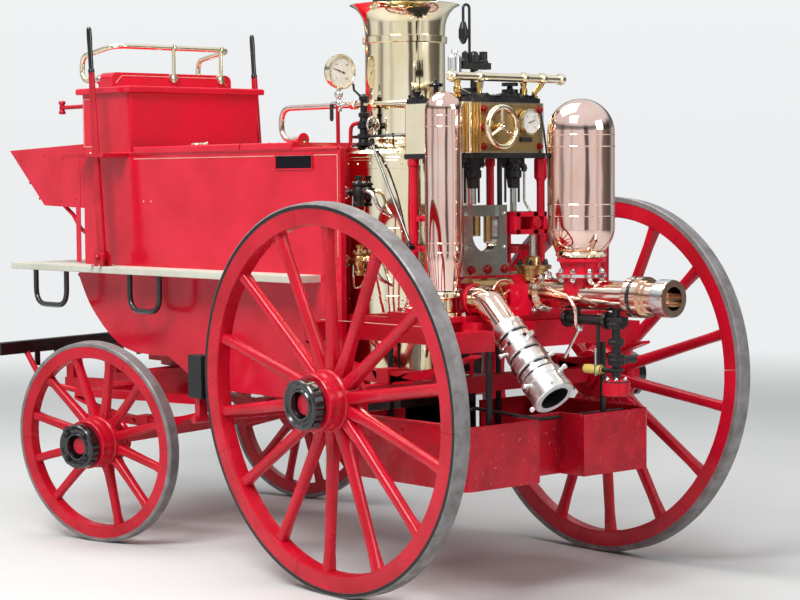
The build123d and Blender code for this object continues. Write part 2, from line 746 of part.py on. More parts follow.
def chimney():
    """The brass chimney casing: shoulder, barrel, band and flared top."""
    t = CASING
    outer = [
        (BOILER_R, SHELL_TOP),
        (BOILER_R, SHELL_TOP + 20),
        (CHIMNEY_R, SHOULDER_TOP),
        (CHIMNEY_R, CHIMNEY_BAND - 10),
        (CHIMNEY_R + 8, CHIMNEY_BAND - 6),
        (CHIMNEY_R + 8, CHIMNEY_BAND + 6),
        (CHIMNEY_R, CHIMNEY_BAND + 10),
        (CHIMNEY_R + 6, CHIMNEY_TOP - 80),
        (CHIMNEY_R + 24, CHIMNEY_TOP - 34),
        (FLARE_R, CHIMNEY_TOP),
    ]
    inner = [
        (FLARE_R - t, CHIMNEY_TOP),
        (CHIMNEY_R + 16, CHIMNEY_TOP - 30),
        (CHIMNEY_R - t, CHIMNEY_TOP - 80),
        (CHIMNEY_R - t, SHOULDER_TOP - 2),
        (BOILER_R - 14, SHELL_TOP + 16),
        (BOILER_R - 14, SHELL_TOP),
    ]
    return Pos(BOILER_X, 0, 0) * turned(outer + inner)


def chimney_cap():
    """The dark cone plate inside the flare and the short stack above it."""
    t = 5.0
    top = CHIMNEY_TOP + STACK_RISE
    profile = [
        (STACK_R, CHIMNEY_TOP - 26),
        (CHIMNEY_R + 22, CHIMNEY_TOP - 26),
        (CHIMNEY_R + 22, CHIMNEY_TOP - 20),
        (STACK_R + t, CHIMNEY_TOP - 10),
        (STACK_R + t, top - 12),
        (STACK_R + 14, top - 12),
        (STACK_R + 14, top),
        (STACK_R, top),
    ]
    return Pos(BOILER_X, 0, 0) * turned(profile) - chimney()


def ash_pan():
    """The ash pan under the firebox, open at its rear end."""
    x0, x1 = BOILER_X - ASH_REACH, BOILER_X + ASH_REACH
    inner = ASH_HALF - ASH_WALL
    pan = block(x0, x1, -ASH_HALF, ASH_HALF, ASH_FLOOR, BOILER_BOTTOM)
    room = block(x0 + ASH_WALL, x1 + 1, -inner, inner, ASH_FLOOR + ASH_WALL, BOILER_BOTTOM - 40)
    return pan - room - post(BOILER_X, 0, BOILER_BOTTOM - 60, BOILER_BOTTOM + 1, 150)


# Steam cylinders and engine

BED_Z = FRAME_Z + FRAME_DEPTH / 2
BED_TOP_Z = BED_Z + BED_THICK
COVER_TOP = BLOCK_TOP + COVER_THICK
COVER_LOW = BLOCK_BOTTOM - COVER_THICK
# x, y of the columns; the slide frame stands where the left rear one would be
COLUMNS = [
    (COLUMN_FRONT_X, -COLUMN_FRONT_Y),
    (COLUMN_FRONT_X, COLUMN_FRONT_Y),
    (COLUMN_REAR_X, COLUMN_REAR_Y),
]


def cylinder_block():
    """The brass-clad block of the two steam cylinders."""
    return rounded_block(BLOCK_FRONT, BLOCK_REAR, -BLOCK_HALF, BLOCK_HALF, BLOCK_BOTTOM, BLOCK_TOP, BLOCK_ROUND)


def safety_valve():
    """The black safety valve on its stand, with a swan neck that holds a pear-shaped weight."""
    x, y = CYL_X - 40, -40.0
    stand = post(x, y, COVER_TOP, 1850, 14)
    table = block(x - 16, x + 16, -108, 30, 1838, 1862)
    caps = [post(x, cy, 1862, 1862 + tall, r) for cy, tall, r in ((-84, 34, 12), (-40, 26, 22), (6, 40, 15))]
    neck = pipe([(x, -62, 1850), (x, -62, 2068), (x, -92, 2068), (x, -92, 1990)], 5, [14, 14])
    pear = Pos(x, -92, 1925) * turned([(0, 0), (8, 4), (17, 24), (17, 52), (9, 80), (0, 84)])
    return fused([stand, table] + caps + [neck, pear])


def cover_valve(x, y, z, tall, r):
    """A screwed-down valve with its round handle."""
    return fused([post(x, y, z, z + tall, 8), Pos(x, y, z) * Cone(16, 10, 30), Pos(x, y, z + tall) * Cylinder(r, 12)])


def cylinder_covers():
    """Black flanges under and over the block, with domes, valves and the safety valve on top."""
    inset = 6
    top = rounded_block(
        BLOCK_FRONT + inset, BLOCK_REAR - inset, inset - BLOCK_HALF, BLOCK_HALF - inset, BLOCK_TOP, COVER_TOP, BLOCK_ROUND - 2
    )
    low = rounded_block(BLOCK_FRONT, BLOCK_REAR + 8, -BLOCK_HALF - 8, BLOCK_HALF + 8, COVER_LOW, BLOCK_BOTTOM, BLOCK_ROUND - 2)
    pieces = [top, safety_valve()]
    for side in (-1, 1):
        dome = turned([(0, 0), (DOME_R, 0), (DOME_R, 10), (30, 22), (30, 34), (0, 34)])
        pieces.append(Pos(CYL_X, side * CYL_Y, COVER_TOP) * dome)
    pieces.append(cover_valve(CYL_X, CYL_Y, COVER_TOP + 30, 22, 30))
    pieces.append(cover_valve(BLOCK_FRONT + 90, -145, COVER_TOP - 1, 50, 24))
    return group([fused(pieces), low])


def columns():
    """Three red columns from the bed plate to the block, with two rails and a plate on each side."""
    sides = []
    for side, rear in ((-1, SLIDE_REAR - SLIDE_THICK), (1, COLUMN_REAR_X)):
        pieces = []
        for x, y in COLUMNS:
            if side * y > 0:
                pieces.append(post(x, y, BED_TOP_Z, COVER_LOW, COLUMN_R))
                pieces.append(post(x, y, COVER_LOW - 75, COVER_LOW, COLUMN_HEAD * COLUMN_R))
                pieces.append(post(x, y, BED_TOP_Z, BED_TOP_Z + 14, COLUMN_FOOT * COLUMN_R))
        y_in, y_out = COLUMN_REAR_Y - 6, COLUMN_REAR_Y + 6
        for z in (1180, 1290):
            pieces.append(side_block(side, COLUMN_FRONT_X, rear, y_in, y_out, z, z + 22))
        pieces.append(side_block(side, COLUMN_FRONT_X + 60, COLUMN_FRONT_X + 110, y_in + 2, y_out - 2, PUMP_TOP, 1300))
        sides.append(fused(pieces))
    return group(sides)


def slide_frames():
    """The cast guide frame on its foot, with its open round-ended slot and the two rods in it."""
    x0, x1 = SLIDE_REAR - SLIDE_THICK, SLIDE_REAR
    y0, y1 = SLIDE_Y - SLIDE_HALF, SLIDE_Y + SLIDE_HALF
    foot_top = PUMP_TOP + FOOT_RISE
    foot = block(x0 - 5, x1 + 10, y0, y1, PUMP_TOP, foot_top)
    body = block(x0, x1, y0, y1, foot_top, SLIDE_TOP)
    low = SLOT_LOW + SLOT_HALF
    slot = block(x0 - 1, x1 + 1, SLIDE_Y - SLOT_HALF, SLIDE_Y + SLOT_HALF, low, SLIDE_TOP + 1)
    slot = slot + bar_x(x0 - 1, x1 + 1, SLIDE_Y, low, SLOT_HALF)
    bridge = block(x0 + 8, x1 - 8, SLIDE_Y - SLOT_HALF, SLIDE_Y + SLOT_HALF, SLIDE_TOP - 40, SLIDE_TOP)
    rods = [post((x0 + x1) / 2, SLIDE_Y + off, z0, SLIDE_TOP - 39, 15) for off, z0 in ((-28, 1240), (28, 1215))]
    return fused([foot, body - slot, bridge] + rods)


def piston_rods():
    """Glands below the block, the piston rods and the right engine's crosshead."""
    rods = []
    top = COVER_LOW
    for side in (-1, 1):
        y = side * CYL_Y
        low = SLIDE_TOP + 2 if side < 0 else CROSSHEAD_Z + CROSSHEAD_TALL
        gland = turned([(0, top - 108), (20, top - 108), (24, top - 72), (GLAND_R, top - 68), (GLAND_R, top - 20), (42, top - 16), (42, top), (0, top)])
        rods.append(Pos(GLAND_X, y, 0) * gland + post(GLAND_X, y, low, top - 100, ROD_R))
    return group(rods + [crosshead()])


def crosshead():
    """The crosshead of the right engine, a frame that joins piston rod and pump rod."""
    x0, x1 = GLAND_X - 24, PUMP_ROD_X + 18
    y0, y1 = 10.0, 165.0
    z0, z1 = CROSSHEAD_Z, CROSSHEAD_Z + CROSSHEAD_TALL
    body = block(x0, x1, y0, y1, z0, z1)
    window = block(x0 - 1, x1 + 1, y0 + 22, PUMP_ROD_Y - 12, z0 + 18, z1 - 18)
    second = block(x0 - 1, x1 + 1, PUMP_ROD_Y + 14, y1 - 16, z0 + 18, z1 - 18)
    return body - window - second


def bed_plate():
    """The red bed plate on the frame that carries pump and columns."""
    reach = FRAME_Y + FRAME_THICK / 2
    plate = block(BED_FRONT, CROSS_REAR_X + CROSS_WIDE, -reach, reach, BED_Z, BED_TOP_Z)
    plate = plate + block(CROSS_REAR_X, PUMP_REAR, INNER_RAIL_Y, reach, BED_Z, BED_TOP_Z)
    plate = plate - post(BOILER_X, 0, BED_Z - 1, BED_TOP_Z + 1, BOILER_R)
    shelf = block(TALL_X - 72, TALL_X + 78, TALL_Y - 75, -FRAME_Y, BED_Z, BED_TOP_Z)
    rib = plate_xz(
        [(TALL_X - 42, BED_Z), (TALL_X + 48, BED_Z), (TALL_X + 48, BED_Z - 50), (TALL_X - 42, BED_Z - 50)],
        TALL_Y - 60,
        -reach,
    )
    return plate + shelf + rib


# Pump, vessels and pipes


def column_room(z0, z1):
    """The space round the feet of the columns."""
    return [post(x, y, z0, z1, COLUMN_FOOT * COLUMN_R + 1) for x, y in COLUMNS]


def pump_body():
    """The pump casting: valve chest, barrel ends, top flange and the right barrel with its gland."""
    low = PUMP_TOP - 24
    chest = rounded_block(PUMP_FRONT, PUMP_STEP, -PUMP_HALF, PUMP_HALF, BED_TOP_Z, low, 40)
    tail = block(PUMP_STEP - 40, PUMP_REAR, PUMP_STEP_Y, PUMP_HALF - 40, BED_TOP_Z, low - 8)
    flange = block(CYL_X - 70, SLIDE_REAR + 12, 20 - PUMP_HALF, PUMP_HALF - 20, low, PUMP_TOP)
    bulge = bar_y(PUMP_STEP - 24, -PUMP_HALF + 20, PUMP_STEP_Y, 1052, 42)
    barrel = Pos(PUMP_ROD_X, PUMP_ROD_Y, 0) * turned(
        [
            (0, low),
            (BARREL_R, low),
            (BARREL_R, PUMP_TOP + 16),
            (BARREL_R + 12, PUMP_TOP + 18),
            (BARREL_R + 12, PUMP_TOP + 30),
            (30, PUMP_TOP + 32),
            (26, PUMP_TOP + 58),
            (0, PUMP_TOP + 58),
        ]
    )
    rod = post(PUMP_ROD_X, PUMP_ROD_Y, PUMP_TOP + 50, CROSSHEAD_Z, ROD_R)
    whole = fused([chest, tail, flange, bulge, barrel, rod])
    for room in column_room(BED_TOP_Z - 1, PUMP_TOP + 1):
        whole = whole - room
    return whole


def slope():
    """The suction pipe's way down: x and z of one millimetre along it."""
    return math.cos(math.radians(SUCTION_SLOPE)), -math.sin(math.radians(SUCTION_SLOPE))


def suction_end():
    """x, z where the elbow stops and the coupling starts."""
    dx, dz = slope()
    return SUCTION_TURN_X + SUCTION_RUN * dx, SUCTION_Z + SUCTION_RUN * dz


def suction_elbow():
    """The bright elbow down to the suction coupling, on its flange."""
    x1, z1 = suction_end()
    path = [(PUMP_STEP, SUCTION_Y, SUCTION_Z), (SUCTION_TURN_X, SUCTION_Y, SUCTION_Z), (x1, SUCTION_Y, z1)]
    flange = bar_x(PUMP_STEP, PUMP_STEP + 16, SUCTION_Y, SUCTION_Z, SUCTION_R + 3)
    return (pipe(path, SUCTION_R, [SUCTION_BEND]) + flange) - pump_body()


def suction_coupling():
    """The silver screwed coupling: four rings with lugs, on the end of the elbow."""
    x1, z1 = suction_end()
    # start and length of each ring along the coupling, and its radius
    rings = [(0, 52, 61), (62, 74, 64), (146, 52, 68), (206, 22, 66), (236, 94, 76)]
    profile = [(SUCTION_BORE, 0)]
    for start, long, r in rings:
        profile += [(56, start), (r, start), (r, start + long), (56, start + long)]
    profile += [(COUPLING_BORE, COUPLING_LONG), (COUPLING_BORE, COUPLING_LONG - 126), (SUCTION_BORE, COUPLING_LONG - 126)]
    profile = [p for n, p in enumerate(profile) if n == 0 or p != profile[n - 1]]
    lugs = []
    # middle of each set of lugs along the coupling, reach, count and turn
    for mid, reach, count, turn in ((26, 84, 2, 24), (99, 86, 3, 58), (172, 92, 3, 4), (262, 100, 3, 34), (308, 96, 3, 94)):
        for n in range(count):
            lug = Pos(0, 0, mid) * Rot(0, 90, 0) * Pos(0, 0, (reach + 50) / 2) * Cylinder(8, reach - 50)
            lugs.append(Rot(0, 0, turn + 360 / count * n) * lug)
    whole = fused([turned(profile)] + lugs)
    return Pos(x1, SUCTION_Y, z1) * Rot(0, 90 + SUCTION_SLOPE, 0) * whole


def delivery_pipe():
    """The copper delivery pipe out to the rear, with its flanges and nickel end."""
    run = bar_x(PUMP_REAR, DELIVERY_END, 0, DELIVERY_Z, DELIVERY_R)
    joint = DELIVERY_END - 180
    # start, length and radius of each ring
    table = [(PUMP_REAR, 18, 66), (joint, 22, 70), (joint + 40, 24, 70), (joint + 64, 16, 60), (DELIVERY_END - 50, 50, 62)]
    rings = [bar_x(x, x + w, 0, DELIVERY_Z, r) for x, w, r in table]
    bore = bar_x(DELIVERY_END - 120, DELIVERY_END + 1, 0, DELIVERY_Z, DELIVERY_BORE)
    return fused([run] + rings) - bore


def air_vessel():
    """The large copper air vessel."""
    low, high = VESSEL_LOW + VESSEL_R - 8, VESSEL_HIGH - VESSEL_R
    barrel = post(0, 0, low, high, VESSEL_R)
    bands = [post(0, 0, z, z + 8, VESSEL_R + 3) for z in (high - 64, low + 44)]
    whole = fused([barrel, Pos(0, 0, low) * Sphere(VESSEL_R), Pos(0, 0, high) * Sphere(VESSEL_R)] + bands)
    return Pos(VESSEL_X, 0, 0) * (whole - post(0, 0, VESSEL_LOW - 50, VESSEL_LOW, 2 * VESSEL_R))


def vessel_base():
    """The red foot of the air vessel, with its pale joint ring, saddled on the pipe."""
    foot = turned(
        [
            (0, DELIVERY_Z),
            (62, DELIVERY_Z),
            (62, 1096),
            (86, 1100),
            (86, 1116),
            (66, 1120),
            (66, VESSEL_LOW - 16),
            (84, VESSEL_LOW - 12),
            (84, VESSEL_LOW),
            (0, VESSEL_LOW),
        ]
    )
    return Pos(VESSEL_X, 0, 0) * foot - delivery_pipe()


def tall_vessel():
    """The tall narrow copper vessel on the left of the engine."""
    taper = 130
    cone = Pos(0, 0, TALL_FOOT + taper / 2) * Cone(46, TALL_R, taper)
    high = TALL_TOP - TALL_R
    barrel = post(0, 0, TALL_FOOT + taper, high, TALL_R)
    bands = [post(0, 0, z, z + 7, TALL_R + 2.5) for z in (high - 62, TALL_FOOT + taper + 30)]
    stub = turned(
        [
            (0, BED_TOP_Z),
            (50, BED_TOP_Z),
            (50, BED_TOP_Z + 14),
            (34, BED_TOP_Z + 18),
            (34, TALL_FOOT - 26),
            (56, TALL_FOOT - 22),
            (56, TALL_FOOT),
            (0, TALL_FOOT),
        ]
    )
    return Pos(TALL_X, TALL_Y, 0) * fused([cone, barrel, Pos(0, 0, high) * Sphere(TALL_R), stub] + bands)


def top_pipe():
    """The brass cross pipe over the steam cylinders, on two stands, with its elbow down to the cover."""
    x, z = CROSS_PIPE_X, CROSS_PIPE_Z
    run = bar_y(x, -290, 300, z, CROSS_PIPE_R)
    collars = [bar_y(x, y - 12, y + 12, z, CROSS_PIPE_R + 6) for y in (-230, -100, 120, 215)]
    stands = [post(x, y, COVER_TOP, z, 9) for y in (-100, 120)]
    elbow = pipe([(x, 170, z), (x - 20, 170, z - 30), (x - 20, 170, COVER_TOP)], 10, [16])
    return fused([run] + collars + stands + [elbow]) - cylinder_covers()


def block_fittings():
    """The regulator handwheel and a small gauge on the rear of the block."""
    stem = bar_x(BLOCK_REAR, BLOCK_REAR + 80, WHEEL_Y, WHEEL_Z, 8)
    boss = bar_x(BLOCK_REAR, BLOCK_REAR + 18, WHEEL_Y, WHEEL_Z, 26)
    place = Pos(BLOCK_REAR + 75, WHEEL_Y, WHEEL_Z)
    rim = place * Rot(0, 90, 0) * Torus(WHEEL_R, 8)
    arms = [place * Rot(60 * n, 0, 0) * Box(8, 10, 2 * WHEEL_R) for n in range(3)]
    gauge = bar_x(BLOCK_REAR, BLOCK_REAR + 35, 60, WHEEL_Z + 23, 38)
    return group([fused([stem, boss, rim] + arms), gauge])


def gauge_pipe():
    """The copper pipe from boiler to hose box."""
    deck = BODY_TOP + LID_THICK
    low, high = deck + 13, GAUGE_Z - GAUGE_R - 61
    foot = GAUGE_X - 212
    run = pipe(
        [(BOILER_X - 6, GAUGE_Y, high), (foot - 145, GAUGE_Y, high), (foot - 145, GAUGE_Y, low), (foot, GAUGE_Y, low)],
        11,
        [60, 60],
    )
    return run + block(foot - 35, foot - 5, GAUGE_Y - 16, GAUGE_Y + 16, deck, low + 4)


def pressure_gauge():
    """The boiler pressure gauge above the copper pipe."""
    dial = bar_x(GAUGE_X - 20, GAUGE_X + 20, GAUGE_Y, GAUGE_Z, GAUGE_R)
    return dial + post(GAUGE_X, GAUGE_Y, GAUGE_Z - GAUGE_R - 61, GAUGE_Z - GAUGE_R + 17, 8)


def feed_valve(x, y, z):
    """A flanged feed valve on the boiler's side: upright body, branch to the shell, and its handwheel."""
    body = Pos(x, y, z) * turned([(0, -50), (20, -50), (20, -38), (14, -34), (24, -6), (24, 12), (18, 26), (27, 28), (27, 36), (12, 40), (12, 64), (0, 64)])
    branch = bar_y(x, y, y + 60, z, 13)
    stem = bar_x(x - 76, x, y, z, 8)
    handle = bar_x(x - 86, x - 72, y, z, 24)
    return fused([body, branch, stem, handle])


def boiler_fittings():
    """The black valve cluster on the boiler's shoulder, and the feed valves on its side."""
    x, y, high = BOILER_X - 6, GAUGE_Y, GAUGE_Z - GAUGE_R - 61
    rows = [post(x, y, z0, z1, r) for z0, z1, r in ((1560, high - 11, 13), (1596, 1612, 24), (1632, 1656, 24), (1676, 1690, 20))]
    stand = fused(rows + [post(x, y, high + 11, high + 38, 13), bar_x(x, x + 60, y, 1645, 6), bar_x(x + 48, x + 58, y, 1645, 28)])
    valves = [feed_valve(BOILER_X + 36, -262.0, z) - boiler_shell() for z in (1140, 1395)]
    return group([stand - chimney()] + valves)


def foot_box():
    """The tray across the rear, recessed in the middle, that holds coal; its front is cut down for the ash."""
    x0, x1, half = TRAY_FRONT, TRAY_REAR, TRAY_HALF
    z0, z1, t = TRAY_BOTTOM, TRAY_TOP, TRAY_WALL
    outer = rounded_block(x0, x1, -half, half, z0, z1, TRAY_ROUND)
    inner = block(x0 + t, x1 - t, t - half, half - t, z0 + t, z1 + 1)
    deep, wide = x1 - NOTCH_DEEP, NOTCH_HALF
    notch = block(deep, x1 + 1, -wide, wide, z0 - 1, z1 + 1)
    wall = block(deep - t, x1, -wide - t, wide + t, z0, z1)
    mouth = block(x0 - 1, x0 + t + 1, -ASH_HALF, ASH_HALF, ASH_FLOOR, z1 + 1)
    return (outer - inner) + (wall & outer) - notch - mouth


def box_stays():
    """Black rods that hang the rear tray from the frame."""
    front, rear = TRAY_FRONT + TRAY_WALL + HANGER_R + 1, FRAME_REAR - CROSS_WIDE / 2
    low, rail = TRAY_BOTTOM + TRAY_WALL, FRAME_Z - FRAME_DEPTH / 2
    rods = [post(x, y, low, rail, HANGER_R) for x, y in ((front, -FRAME_Y), (front, FRAME_Y), (rear, FRAME_Y))]
    out = -(FRAME_Y + FRAME_THICK / 2 + OUTER_BAR / 2)
    return group(rods + [post(rear, out, low, hanger_z(), HANGER_R)])


def pump_valves():
    """The drain main, valve stack, lever and drum under the delivery pipe."""
    main_z = DELIVERY_Z - DELIVERY_R - 34
    stack_x = VESSEL_X + 165
    pieces = [
        bar_x(PUMP_REAR + 110, stack_x + 40, 0, main_z, 18),
        post(PUMP_REAR + 170, 0, main_z, DELIVERY_Z - 10, 16),
        post(stack_x, 0, 700, DELIVERY_Z - 10, 15),
    ]
    # bottom, height and radius of the valve bodies on the stack
    for z, tall, r in ((930, 30, 30), (872, 26, 26), (806, 34, 28), (700, 52, 46)):
        pieces.append(post(stack_x, 0, z, z + tall, r))
    pieces.append(bar_x(VESSEL_X + 10, stack_x, 0, 786, 9))
    pieces.append(bar_x(VESSEL_X + 14, VESSEL_X + 100, 0, 786, 15))
    pieces.append(post(VESSEL_X + 80, 0, 786, main_z, 7))
    pieces.append(bar_y(stack_x, 0, 90, 822, 14))
    return fused(pieces) - delivery_pipe()


def brake_beam():
    """The red cross shaft of the brakes with its hangers."""
    x = brake_x() + 30
    shaft = bar_y(x, -735, 735, BRAKE_Z, 15)
    hangers = [side_block(s, x - 15, x + 15, 230, 270, BRAKE_Z, BELLY_BOTTOM) for s in (-1, 1)]
    arms = [side_block(s, x - 15, x + 15, 682, 718, BRAKE_Z, BLOCK_LOW) for s in (-1, 1)]
    return fused([shaft] + hangers + arms)


def brake_x():
    """The front face of the brake blocks, which stand clear of the rear tyres."""
    return WHEELBASE - REAR_WHEEL_R - BRAKE_GAP - BLOCK_DEEP


def brake_blocks():
    """The two black brake blocks in front of the rear tyres."""
    x = brake_x()
    mid = (REAR_TRACK_OUT - REAR_SIZE[2]) / 2 + 7
    w = BLOCK_HALF_WIDTH
    return group([side_block(s, x, x + BLOCK_DEEP, mid - w, mid + w, BLOCK_LOW, BLOCK_LOW + BLOCK_TALL) for s in (-1, 1)])


def wheel_set(size, phase, place, missing):
    """Wood, tyre and hub box of one wheel, at its place."""
    return {"wheel": place * wheel(size, phase, missing), "tyre": place * tyre(size), "cap": place * hub_cap()}


def nodes():
    """Every piece by node name, in the side view's own place."""
    pieces = {
        "body_box": body_box(),
        "seat_box": seat_box(),
        "hose_lid_left": hose_lid(-1),
        "hose_lid_right": hose_lid(1),
        "seat_rail": seat_rail(),
        "foot_boards": foot_boards(),
        "board_irons": board_irons(),
        "toe_board": toe_board(),
        "side_irons": group([lamp_brackets(), lever_stands()]),
        "brake_lever_left": brake_lever(-1),
        "brake_lever_right": brake_lever(1),
        "frame": frame(),
        "rear_axle": rear_axle(),
        "rear_springs": rear_springs(),
        "top_plate": top_plate(),
        "fore_frame": fore_frame(),
        "front_axle": front_axle(),
        "front_springs": front_springs(),
        "splinter_bar": splinter_bar(),
        "boiler_shell": boiler_shell(),
        "fire_door": fire_door(),
        "chimney": chimney(),
        "chimney_cap": chimney_cap(),
        "ash_pan": ash_pan(),
        "cylinder_block": cylinder_block(),
        "cylinder_covers": cylinder_covers(),
        "columns": columns(),
        "slide_frames": slide_frames(),
        "piston_rods": piston_rods(),
        "bed_plate": bed_plate(),
        "pump_body": pump_body(),
        "suction_elbow": suction_elbow(),
        "suction_coupling": suction_coupling(),
        "delivery_pipe": delivery_pipe(),
        "air_vessel": air_vessel(),
        "vessel_base": vessel_base(),
        "tall_vessel": tall_vessel(),
        "top_pipe": top_pipe(),
        "block_fittings": block_fittings(),
        "pressure_gauge": gauge_pipe() + pressure_gauge(),
        "boiler_fittings": boiler_fittings(),
        "foot_box": foot_box(),
        "box_stays": box_stays(),
        "pump_valves": pump_valves(),
        "brake_beam": brake_beam(),
        "brake_blocks": brake_blocks(),
    }
    # Spokes are counted from the one at FRONT_PHASE, so number 8 stands at -105 degrees.
    for side, word, gap in ((-1, "left", (8,)), (1, "right", ())):
        rear = wheel_set(REAR_SIZE, REAR_PHASE, at_wheel(REAR_SIZE, WHEELBASE, REAR_TRACK_OUT, side), ())
        front = wheel_set(FRONT_SIZE, FRONT_PHASE, parked(at_wheel(FRONT_SIZE, 0, FRONT_TRACK_OUT, side)), gap)
        for kind in rear:
            pieces["rear_" + kind + "_" + word] = rear[kind]
            pieces["front_" + kind + "_" + word] = front[kind]
    return pieces


def main():
    """Write one file for each piece."""
    os.makedirs("parts", exist_ok=True)
    for name, shape in nodes().items():
        solids = [Pos(CENTRE_SHIFT, 0, 0) * solid for solid in shape.solids()]
        export_step(Compound(children=solids), "parts/" + name + ".step")


if __name__ == "__main__":
    main()
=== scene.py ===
"""Looks of a horse-drawn steam fire engine: finishes, fittings and fine forms round its construction.

Sizes are in metres, in the engine's own frame: +X runs to the pump end, +Y to the engine's right, +Z up.
Places given as `aft` are measured from the front axle line towards the rear, as a coach builder would.
"""

import json
import logging
import math
from collections.abc import Callable, Iterable, Sequence
from dataclasses import dataclass
from enum import Enum, IntEnum

import bmesh
import bpy
from mathutils import Matrix, Vector


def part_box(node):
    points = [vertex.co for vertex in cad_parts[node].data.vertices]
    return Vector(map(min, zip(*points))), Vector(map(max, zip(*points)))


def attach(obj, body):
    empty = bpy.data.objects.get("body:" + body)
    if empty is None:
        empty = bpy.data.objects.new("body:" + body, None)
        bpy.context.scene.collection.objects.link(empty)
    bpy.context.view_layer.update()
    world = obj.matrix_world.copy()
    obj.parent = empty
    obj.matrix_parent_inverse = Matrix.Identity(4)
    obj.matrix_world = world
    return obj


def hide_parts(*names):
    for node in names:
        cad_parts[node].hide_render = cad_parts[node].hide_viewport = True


LOG = logging.getLogger("fire_engine")
SHARP_ANGLE = math.radians(35)
FULL_TURN = 2 * math.pi
VALVE_STACK_X = 2.38

Triple = tuple[float, float, float]
Profile = Sequence[tuple[float, float]]


def linear(code: str) -> tuple[float, float, float, float]:
    """Turns an sRGB hex colour to linear values.

    Args:
        code: Six hex digits with a leading #.

    Returns:
        Linear red, green, blue and an alpha of 1.
    """
    parts = [int(code[i : i + 2], 16) / 255 for i in (1, 3, 5)]
    red, green, blue = (c / 12.92 if c <= 0.04045 else ((c + 0.055) / 1.055) ** 2.4 for c in parts)
    return red, green, blue, 1.0


def add_node(tree: bpy.types.NodeTree, kind: str, settings: dict,
             links: dict | None = None) -> bpy.types.Node:
    """Adds one node with its settings and links.

    Args:
        tree: The node tree to add to.
        kind: The node's type name.
        settings: Values by attribute name, or by input socket name or number.
        links: Output sockets by the input socket that they feed.

    Returns:
        The new node.
    """
    node = tree.nodes.new(kind)
    for key, value in settings.items():
        if isinstance(key, str) and hasattr(node, key):
            setattr(node, key, value)
        else:
            node.inputs[key].default_value = value
    for key, socket in (links or {}).items():
        tree.links.new(socket, node.inputs[key])
    return node


@dataclass(frozen=True)
class Finish:
    """A surface as a maker would order it.

    The base is a mix of two near colours in soft patches, with wear or dirt in small marks over it.
    Pattern sizes are in millimetres on the object.
    """

    name: str
    colour: str
    second: str
    mark: str
    rough: tuple[float, float]
    metallic: float = 0.0
    patch_mm: float = 180.0
    mark_mm: float = 9.0
    mark_share: float = 0.05
    grain_mm: float = 4.0
    grain_depth: float = 0.02
    wave_mm: float = 0.0
    wave_depth: float = 0.0
    coat: float = 0.0
    specular: float = 0.5
    stretch: Triple = (1.0, 1.0, 1.0)

    def material(self) -> bpy.types.Material:
        """Builds the node material, or returns it if it was built before.

        Returns:
            The material of this finish.
        """
        found = bpy.data.materials.get(self.name)
        if found:
            return found
        made = bpy.data.materials.new(self.name)
        made.use_nodes = True
        tree = made.node_tree
        tree.nodes.clear()
        place = add_node(tree, "ShaderNodeTexCoord", {}).outputs["Object"]
        scaled = add_node(tree, "ShaderNodeMapping", {"Scale": self.stretch}, {"Vector": place}).outputs[0]

        def noise(size_mm: float, detail: float, rough: float = 0.6) -> bpy.types.NodeSocket:
            """Noise whose lumps are about size_mm wide."""
            made_noise = add_node(
                tree,
                "ShaderNodeTexNoise",
                {"Scale": 1000 / size_mm, "Detail": detail, "Roughness": rough},
                {"Vector": scaled},
            )
            return made_noise.outputs["Fac"]

        def ramp(low: float, high: float, socket: bpy.types.NodeSocket) -> bpy.types.NodeSocket:
            """Stretches values between low and high to 0 and 1."""
            settings = {"From Min": low, "From Max": high, "To Min": 0.0, "To Max": 1.0}
            return add_node(tree, "ShaderNodeMapRange", settings, {"Value": socket}).outputs["Result"]

        patches = ramp(0.35, 0.65, noise(self.patch_mm, 4.0))
        edge = 0.72 - 0.5 * self.mark_share
        marks = ramp(edge, edge + 0.06, noise(self.mark_mm, 6.0, 0.75))
        base = add_node(
            tree, "ShaderNodeMixRGB", {"Color1": linear(self.colour), "Color2": linear(self.second)},
            {"Fac": patches}
        ).outputs[0]
        colour = add_node(
            tree, "ShaderNodeMixRGB", {"Color2": linear(self.mark)}, {"Fac": marks, "Color1": base}
        ).outputs[0]
        smooth, dull = self.rough
        spread = add_node(
            tree, "ShaderNodeMapRange", {"To Min": smooth, "To Max": dull}, {"Value": patches}
        ).outputs["Result"]
        rough = add_node(
            tree, "ShaderNodeMath", {"operation": "MULTIPLY_ADD", 1: 0.3, "use_clamp": True},
            {0: marks, 2: spread}
        ).outputs[0]
        bump = add_node(
            tree,
            "ShaderNodeBump",
            {"Strength": self.grain_depth, "Distance": 0.002},
            {"Height": noise(self.grain_mm, 3.0)},
        ).outputs[0]
        if self.wave_mm:
            bump = add_node(
                tree,
                "ShaderNodeBump",
                {"Strength": self.wave_depth, "Distance": 0.02},
                {"Height": noise(self.wave_mm, 1.0), "Normal": bump},
            ).outputs[0]
        shader = add_node(
            tree,
            "ShaderNodeBsdfPrincipled",
            {"Metallic": self.metallic, "Coat Weight": self.coat, "Coat Roughness": 0.06,
             "Specular IOR Level": self.specular},
            {"Base Color": colour, "Roughness": rough, "Normal": bump},
        )
        add_node(tree, "ShaderNodeOutputMaterial", {}, {"Surface": shader.outputs[0]})
        return made


# Brushed coach enamel over primer: a bright deep gloss, slightly cherry, with a bloom in soft patches.
RED_ENAMEL = Finish(
    "red_coach_enamel", "#DC1234", "#CB0C28", "#E39AA0", (0.14, 0.28), coat=0.12, specular=0.3,
    mark_share=0.0
)
# The same enamel on wheels and under gear, which carries more chips, mud and dust.
WORN_RED = Finish(
    "worn_red_enamel", "#CE122E", "#B20A20", "#8A564E", (0.2, 0.38), coat=0.08, specular=0.3,
    mark_share=0.07,
    grain_depth=0.05,
)
